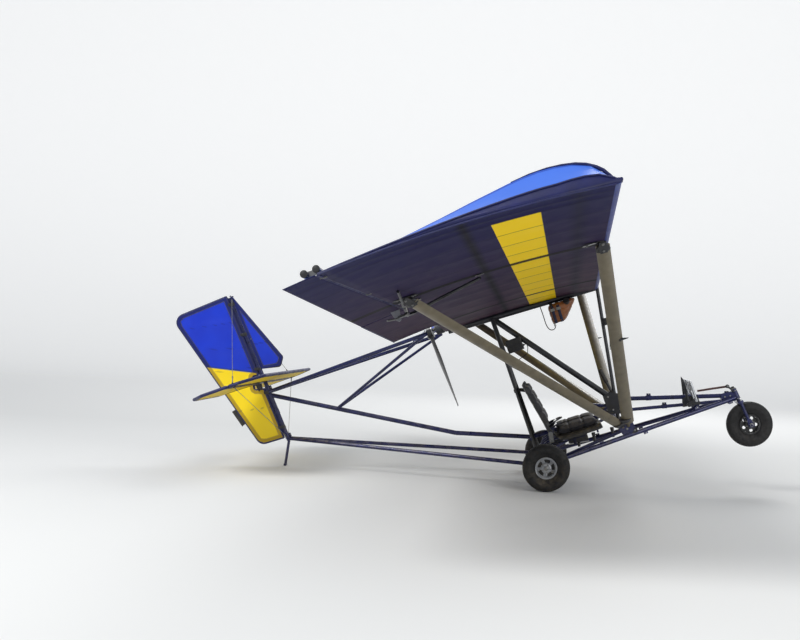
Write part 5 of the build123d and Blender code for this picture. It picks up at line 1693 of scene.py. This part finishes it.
hose_rubber = finish("Hose", colour(30, 26, 22), colour(44, 36, 28), (0.35, 0.55), dusty=0.05)
hose, hose_length = soft_line("fuel_hose", HOSE, 0.004, hose_rubber)
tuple(HOSE[0])
print("fuel hose", round(hose_length, 3), "m")

# %% [markdown]
# The small instrument on the front tube has a bezel, a glass and a plain dial. The box on the rear
# tubes is a finned regulator case with a lid, screws and leads. The stick has a ribbed foam grip.

# %% Instrument, box and stick
dial_face = finish("Dial face", colour(20, 20, 22), colour(26, 26, 28), (0.5, 0.6), dusty=0.0)
dial_mark = finish("Dial marks", colour(226, 226, 220), colour(214, 214, 208), (0.5, 0.6), dusty=0.0)
glass, glass_tree, glass_shader = new_material("Dial glass")
glass_shader.inputs["Base Color"].default_value = colour(230, 236, 236)
glass_shader.inputs["Transmission Weight"].default_value = 1.0
glass_place = add_node(glass_tree, "ShaderNodeTexCoord").outputs["Object"]
smudge = use_group(glass_tree, mottle, {"Vector": glass_place, "Scale": 60.0, "Low": 0.02, "High": 0.16}).outputs[0]
glass_tree.links.new(smudge, glass_shader.inputs["Roughness"])

shape = Shape()
face = craft(0.694, 0, 1.068)
shape.lathe(face, -FORWARD, [(-0.004, 0.029), (0.004, 0.029), (0.008, 0.0275), (0.009, 0.025), (0.004, 0.0235),
    (0.003, 0.0)], 44)
shape.lathe(face - FORWARD * 0.0036, -FORWARD, [(0, 0.0232), (0.0006, 0.0232)], 44, part=1)
for k in range(11):
    a = radians(225 - 27 * k)
    way = PORT * cos(a) + UP * sin(a)
    shape.plate(rectangle(0.0007, 0.0022), face - FORWARD * 0.0046 + way * 0.0195, way.cross(FORWARD), way, 0.0006,
        part=2)
needle = PORT * cos(radians(140)) + UP * sin(radians(140))
shape.plate([(-0.001, -0.004), (0.001, -0.004), (0.0003, 0.0175), (-0.0003, 0.0175)], face - FORWARD * 0.0052,
    needle.cross(FORWARD), needle, 0.0006, part=2)
shape.lathe(face - FORWARD * 0.0070, -FORWARD, [(0, 0.0240), (0.0012, 0.0236)], 40, part=3)
for y in (-0.029, 0.029):
    for z in (-0.024, 0.024):
        shape.bolt(craft(0.694, y, 1.068 + z), -FORWARD, 0.003, part=4)
for z in (1.045, 1.088):
    for y in (-0.0365, 0.0365):
        shape.plate([(-0.008, -0.006), (0.030, -0.006), (0.030, 0.006), (-0.008, 0.006)], craft(0.716, y * 0.55, z),
            FORWARD, UP, 0.003, part=4)
shape.tube([craft(0.738, 0.0, 1.038), craft(0.752, 0.004, 1.02), craft(0.742, 0.010, 0.98), craft(0.716, 0.020, 0.90),
    craft(0.705, 0.019, 0.82)], 0.003, 10)
gauge = shape.make("instrument_details", "airframe", (plastic_black, dial_face, dial_mark, glass, steel),
    bevel=0.0004)

shape = Shape()
tilt = radians(10)
BOX_AHEAD = FORWARD * cos(tilt) + UP * sin(tilt)
BOX_UP = UP * cos(tilt) - FORWARD * sin(tilt)
box_at = craft(-0.088, 0, 1.0)
shape.plate(soft_rectangle(0.072, 0.083, 0.012, 5), box_at + BOX_UP * 0.050, BOX_AHEAD, PORT, 0.008)
for k in range(9):
    shape.plate(rectangle(0.056, 0.004), box_at + BOX_UP * 0.058 + PORT * (0.013 * (k - 4)), BOX_AHEAD, BOX_UP, 0.003)
for way in (1, -1):
    for k in range(7):
        shape.plate(rectangle(0.060, 0.002), box_at + PORT * (way * 0.0815) + BOX_UP * (0.010 * (k - 4)), BOX_AHEAD,
            BOX_UP, 0.006)
    for x in (-0.062, 0.062):
        shape.bolt(box_at + BOX_UP * 0.054 + BOX_AHEAD * x + PORT * (way * 0.072), BOX_UP, 0.005, part=1)
for y in (-0.03, 0.0, 0.03):
    start = box_at + BOX_AHEAD * 0.069 - BOX_UP * 0.020 + PORT * y
    shape.lathe(start, BOX_AHEAD, [(0, 0.009), (0.008, 0.009), (0.012, 0.005)], 16)
    shape.tube([start + BOX_AHEAD * 0.010, start + BOX_AHEAD * 0.030, start + BOX_AHEAD * 0.032 - BOX_UP * 0.03,
        start + BOX_AHEAD * 0.010 - BOX_UP * 0.08 - PORT * y * 0.4, craft(-0.105, y * 0.5, 0.86)], 0.0032, 10)
case = shape.make("equipment_box_details", "airframe", (plastic_black, steel), bevel=0.0006)

shape = Shape()
stick_low, stick_top = craft(0.664, 0, 0.424), craft(0.588, 0, 0.667)
stick_way = (stick_top - stick_low).normalized()
grip = [(-0.125, 0.0125), (-0.123, 0.0165)]
for k in range(9):
    grip += [(-0.117 + 0.012 * k, 0.0172), (-0.112 + 0.012 * k, 0.0185), (-0.108 + 0.012 * k, 0.0172)]
grip += [(-0.006, 0.0172), (0.002, 0.0168), (0.006, 0.013), (0.008, 0.006)]
shape.lathe(stick_top, stick_way, grip, 28)
boot = [(-0.004, 0.030), (0.004, 0.031), (0.010, 0.025), (0.016, 0.027), (0.022, 0.021), (0.028, 0.023),
    (0.036, 0.017), (0.048, 0.0145), (0.056, 0.0128)]
shape.lathe(stick_low + stick_way * 0.004, stick_way, boot, 28)
handle = shape.make("stick_grip_and_boot", "airframe", (hose_rubber,), crease=50)

# %% [markdown]
# ## Engine and propeller
# The engine hangs under the root tube behind the seats. Castings get split lines, ribs, nuts and a
# slotted starter cover; the exhaust drum gets domed ends, bands, springs and a tail pipe; pleated
# filters, plug caps and leads finish the cylinders; the propeller gets its hub plate and six bolts.

# %% Engine details
THRUST = radians(12)
ENGINE_AHEAD = (FORWARD * cos(THRUST) + UP * sin(THRUST)).normalized()
ENGINE_UP = (UP * cos(THRUST) - FORWARD * sin(THRUST)).normalized()


def on_engine(x, y, z):
    return craft(-0.7929, 0, 1.2517) + ENGINE_AHEAD * x + PORT * y + ENGINE_UP * z


shape = Shape()
# crankcase: split flange with bolts, ribs under it, starter cover in front
shape.plate(rectangle(0.150, 0.107), on_engine(0.279, 0, 0.150), ENGINE_AHEAD, PORT, 0.011)
for side in (1, -1):
    for k in range(6):
        spot = on_engine(0.145 + 0.053 * k, 0.1015 * side, 0.1555)
        shape.bolt(spot, ENGINE_UP, 0.0065, part=1)
        shape.plate([(-0.006, -0.060), (0.006, -0.060), (0.006, -0.004), (-0.006, -0.004)],
            on_engine(0.145 + 0.053 * k, 0.0995 * side, 0.150), ENGINE_AHEAD, ENGINE_UP, 0.006)
cover = [(0.0, 0.082), (0.004, 0.086), (0.012, 0.086), (0.020, 0.080), (0.032, 0.070), (0.038, 0.056), (0.040, 0.020),
    (0.043, 0.018), (0.043, 0.0)]
shape.lathe(on_engine(0.432, 0, 0.150), ENGINE_AHEAD, cover, 48)
for spoke in around(12, 0, PORT, ENGINE_UP):
    shape.tube([on_engine(0.464, 0, 0.150) + spoke * 0.030, on_engine(0.456, 0, 0.150) + spoke * 0.072], 0.0032, 8,
        part=2)
for spoke in around(6, 0.5, PORT, ENGINE_UP):
    shape.bolt(on_engine(0.444, 0, 0.150) + spoke * 0.079, ENGINE_AHEAD, 0.005, part=1)
shape.tube([on_engine(0.470, 0, 0.150), on_engine(0.474, 0.0, 0.135), on_engine(0.474, 0.0, 0.110)], 0.004, 10,
    part=2)
# reduction drive: rim bolts, ribs, breather
for k, spoke in enumerate(around(9, 0, PORT, ENGINE_UP)):
    shape.bolt(on_engine(0.058, 0, 0.150) + spoke * 0.064, -ENGINE_AHEAD, 0.0055, part=1)
    if k not in (6, 7):
        shape.bolt(on_engine(0.058, 0, 0.0) - spoke * 0.050, -ENGINE_AHEAD, 0.005, part=1)
shape.lathe(on_engine(0.058, 0, 0.150), -ENGINE_AHEAD,
    [(0, 0.040), (0.004, 0.040), (0.007, 0.034), (0.007, 0.020), (0.010, 0.018), (0.010, 0.0)], 36)
shape.lathe(on_engine(0.090, 0, 0.222), ENGINE_UP, [(0, 0.010), (0.010, 0.010), (0.012, 0.007), (0.026, 0.007)], 16,
    part=1)
# cylinders: head nuts, plug hexes and caps, inlet stubs
for x in (0.220, 0.370):
    for dx in (-0.042, 0.042):
        for dy in (-0.042, 0.042):
            shape.lathe(on_engine(x + dx, dy, 0.402), ENGINE_UP, [(0, 0.010), (0.002, 0.010)], 20, part=1)
            shape.lathe(on_engine(x + dx, dy, 0.404), ENGINE_UP, [(0, 0.0078), (0.009, 0.0078), (0.010, 0.0065)], 6,
                part=1)
            shape.lathe(on_engine(x + dx, dy, 0.404), ENGINE_UP, [(0.008, 0.004), (0.014, 0.004)], 12, part=1)
    for k in (-2, -1, 1, 2):
        fin = [(-0.050, -0.012), (0.050, -0.012), (0.040, 0.010), (-0.040, 0.010)]
        shape.plate(fin, on_engine(x, 0.022 * k, 0.412), ENGINE_AHEAD, ENGINE_UP, 0.003)
    shape.lathe(on_engine(x, 0, 0.402), ENGINE_UP, [(0, 0.016), (0.008, 0.016), (0.009, 0.013)], 6, part=1)
    shape.lathe(on_engine(x, 0, 0.411), ENGINE_UP,
        [(0, 0.0152), (0.004, 0.0165), (0.020, 0.0158), (0.024, 0.012), (0.036, 0.011), (0.040, 0.008)], 20, part=2)
    port_plate = [(-0.030, -0.028), (0.030, -0.028), (0.036, 0.0), (0.030, 0.028), (-0.030, 0.028), (-0.036, 0.0)]
    for side, z in ((-1, 0.268), (1, 0.280)):
        shape.plate(port_plate, on_engine(x, 0.070 * side, z), ENGINE_AHEAD, ENGINE_UP, 0.007)
        for dx in (-0.024, 0.024):
            shape.bolt(on_engine(x + dx, 0.074 * side, z), PORT * side, 0.006, part=1)
# mount: rubber bushes and through bolts
for x in (0.19, 0.40):
    for side in (1, -1):
        shape.lathe(on_engine(x, 0.024 * side, 0.040), PORT * side,
            [(0, 0.024), (0.004, 0.026), (0.018, 0.026), (0.022, 0.022)], 28, part=2)
        shape.lathe(on_engine(x, 0.046 * side, 0.040), PORT * side, [(0, 0.018), (0.003, 0.018)], 24, part=1)
        shape.bolt(on_engine(x, 0.049 * side, 0.040), PORT * side, 0.010, part=1)
castings = shape.make("engine_details", "airframe", (engine_dark, steel, plastic_black), bevel=0.0007)

# %% [markdown]
# The exhaust's fittings are one piece of their own, because they share the hot steel's finish.

# %% Exhaust details
shape = Shape()
for x, way in ((0.090, -1), (0.510, 1)):
    dome = [(-0.001, 0.0565), (0.004, 0.0575), (0.008, 0.056), (0.018, 0.048), (0.026, 0.034), (0.030, 0.014),
        (0.0305, 0.0)]
    shape.lathe(on_engine(x, 0.168, 0.280), ENGINE_AHEAD * way, dome, 40)
for x in (0.150, 0.295, 0.450):
    shape.lathe(on_engine(x - 0.009, 0.168, 0.280), ENGINE_AHEAD,
        [(0, 0.0565), (0.001, 0.0585), (0.017, 0.0585), (0.018, 0.0565)], 44, caps=False)
    shape.bolt(on_engine(x, 0.168, 0.337), ENGINE_UP, 0.007, part=1)
tail_pipe = [on_engine(0.115, 0.185, 0.245), on_engine(0.108, 0.205, 0.205), on_engine(0.085, 0.212, 0.170),
    on_engine(0.040, 0.212, 0.150)]
shape.tube(tail_pipe, 0.016, 24)
for x in (0.220, 0.370):
    for z in (0.252, 0.308):
        coil = []
        for k in range(61):
            t = k / 60
            a = 2 * pi * 9 * t
            coil.append(on_engine(x + cos(a) * 0.0042, 0.078 + 0.048 * t, z + sin(a) * 0.0042))
        shape.tube(coil, 0.0009, 6, part=1)
    shape.lathe(on_engine(x, 0.094, 0.280), PORT, [(0, 0.0215), (0.001, 0.0245), (0.012, 0.0245), (0.013, 0.0215)],
        32, caps=False)
pipes = shape.make("exhaust_details", "airframe", (exhaust_steel, steel), bevel=0.0005)

# %% [markdown]
# Each carburettor gets a pleated filter: a ring whose radius steps in and out on every other point.

# %% Carburettors and plug leads
shape = Shape()
filter_cloth = finish("Filter foam", colour(96, 36, 30), colour(70, 28, 26), (0.7, 0.9), grain=600, bump=0.5,
    reach=2.5, dusty=0.2)
for x in (0.220, 0.370):
    rows = []
    for along, r in ((0.132, 0.045), (0.134, 0.0475), (0.190, 0.0475), (0.193, 0.045)):
        pleats = [(r + (0.003 if k % 2 else -0.001), 2 * pi * k / 72) for k in range(72)]
        rows.append([on_engine(x + d * cos(a), -along, 0.268 + d * sin(a)) for d, a in pleats])
    shape.skin(rows, closed=True, part=2)
    for along in (0.130, 0.1925):
        shape.lathe(on_engine(x, -along, 0.268), -PORT,
            [(-0.003, 0.045), (-0.002, 0.052), (0.003, 0.052), (0.0045, 0.048), (0.005, 0.030)], 40)
    shape.lathe(on_engine(x, -0.086, 0.268), -PORT,
        [(0, 0.0245), (0.001, 0.031), (0.028, 0.031), (0.030, 0.0245)], 32, caps=False)
    shape.lathe(on_engine(x, -0.100, 0.298), ENGINE_UP,
        [(-0.010, 0.016), (0.018, 0.016), (0.022, 0.013), (0.034, 0.007), (0.040, 0.006)], 24)
    shape.lathe(on_engine(x, -0.100, 0.238), -ENGINE_UP,
        [(-0.010, 0.021), (0.022, 0.021), (0.026, 0.017), (0.030, 0.010)], 24)
    shape.bolt(on_engine(x, -0.100, 0.209), -ENGINE_UP, 0.007, part=1)
    shape.lathe(on_engine(x, -0.070, 0.268), -PORT, [(0, 0.026), (0.001, 0.028), (0.011, 0.028), (0.012, 0.026)],
        32, part=1, caps=False)
carbs = shape.make("carburettor_details", "airframe", (cast_alloy, steel, filter_cloth), bevel=0.0005)

for number, x in enumerate((0.220, 0.370)):
    start = on_engine(x, 0, 0.448)
    route = [start, on_engine(x, -0.01, 0.480), on_engine(x + 0.05, -0.050, 0.480),
        on_engine(0.445 + 0.012 * number, -0.085, 0.420), on_engine(0.462 + 0.010 * number, -0.090, 0.300),
        on_engine(0.452 + 0.010 * number, -0.062, 0.205)]
    lead, lead_length = soft_line(f"plug_lead_{number + 1}", route, 0.0035, hose_rubber)
    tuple(start)
    print("plug lead", number + 1, round(lead_length, 3), "m")

# %% [markdown]
# The hub's plates and bolts turn with the propeller, so they are on its body and not the engine's.

# %% Propeller hub
shape = Shape()
for x, way in ((-0.0225, -1), (0.0225, 1)):
    shape.lathe(on_engine(x, 0, 0), ENGINE_AHEAD * way,
        [(-0.001, 0.060), (0.001, 0.0615), (0.006, 0.0615), (0.0075, 0.059)], 44)
for spoke in around(6, 0.5, PORT, ENGINE_UP):
    shape.bolt(on_engine(-0.0295, 0, 0) + spoke * 0.043, -ENGINE_AHEAD, 0.0085, part=1)
shape.lathe(on_engine(-0.029, 0, 0), -ENGINE_AHEAD,
    [(0, 0.022), (0.006, 0.022), (0.010, 0.017), (0.018, 0.016), (0.020, 0.012)], 28, part=1)
hub = shape.make("propeller_hub_details", "propeller", (bare_alloy, steel), bevel=0.0006)

# %% [markdown]
# ## Floor and light
# A plain pale floor runs back into a curved wall, so no horizon line shows. Two large soft lamps and
# a pale world light the machine evenly; the background's own paleness is its colour, not extra light.

# %% Floor and backdrop
FLOOR_HALF = 30.0
WALL_AT = 24.0
CURVE_R = 9.0
WALL_TOP = 26.0
profile = [(-24.0, 0.0), (WALL_AT - CURVE_R, 0.0)]
for step in range(1, 17):
    turn = pi / 2 * step / 16
    profile.append((WALL_AT - CURVE_R + CURVE_R * sin(turn), CURVE_R * (1 - cos(turn))))
profile.append((WALL_AT, WALL_TOP))
backdrop_mesh = bpy.data.meshes.new("Backdrop")
rows = [[(x, y, z) for x in (-FLOOR_HALF, FLOOR_HALF)] for y, z in profile]
points = [p for row in rows for p in row]
faces = [(2 * i, 2 * i + 1, 2 * i + 3, 2 * i + 2) for i in range(len(rows) - 1)]
backdrop_mesh.from_pydata(points, [], faces)
backdrop_mesh.shade_smooth()
backdrop = bpy.data.objects.new("Backdrop", backdrop_mesh)
bpy.context.scene.collection.objects.link(backdrop)
floor_paint, floor_tree, floor_shader = new_material("Floor")
floor_shader.inputs["Base Color"].default_value = colour(222, 222, 220)
floor_shader.inputs["Roughness"].default_value = 0.9
seen = add_node(floor_tree, "ShaderNodeLightPath")
shown = maths(floor_tree, "ADD", seen.outputs["Is Camera Ray"], seen.outputs["Is Glossy Ray"])
shown = maths(floor_tree, "ADD", shown, seen.outputs["Is Transmission Ray"], clamp=True)
far = add_node(floor_tree, "ShaderNodeSeparateXYZ",
    {0: add_node(floor_tree, "ShaderNodeNewGeometry").outputs["Position"]})
wall = add_node(floor_tree, "ShaderNodeMapRange",
    {"Value": far.outputs["Y"], "From Min": 4.0, "From Max": WALL_AT, "To Max": 0.5})
floor_shader.inputs["Emission Color"].default_value = (1, 1, 1, 1)
floor_tree.links.new(maths(floor_tree, "MULTIPLY", shown, wall.outputs[0]), floor_shader.inputs["Emission Strength"])
backdrop_mesh.materials.append(floor_paint)
print("backdrop", 2 * FLOOR_HALF, "m wide")

# %% [markdown]
# A disk lamp throws a soft-edged shadow. The strongest stands highest, the weakest fills the shadows
# from the other side, and one behind lights the edges.

# %% Lamps and world
def lamp(name, at, size, watts, aim):
    data = bpy.data.lights.new(name, "AREA")
    data.shape = "DISK"
    data.size = size
    data.energy = watts
    made = bpy.data.objects.new(name, data)
    made.location = at
    made.rotation_euler = (Vector(aim) - Vector(at)).to_track_quat("-Z", "Y").to_euler()
    bpy.context.scene.collection.objects.link(made)
    return made


lamp("Key lamp", (-7.0, -9.0, 10.0), 6.0, 1250, (0, 0, 1))
lamp("Fill lamp", (9.0, -9.0, 5.0), 7.0, 420, (0, 0, 1))
lamp("Back lamp", (3.0, 10.0, 9.0), 7.0, 620, (0, 0, 1))
world = bpy.data.worlds.new("World")
world.use_nodes = True
world.node_tree.nodes["Background"].inputs["Color"].default_value = (0.86, 0.9, 0.96, 1)
world.node_tree.nodes["Background"].inputs["Strength"].default_value = 0.55
bpy.context.scene.world = world
bpy.context.scene.view_settings.view_transform = "Standard"
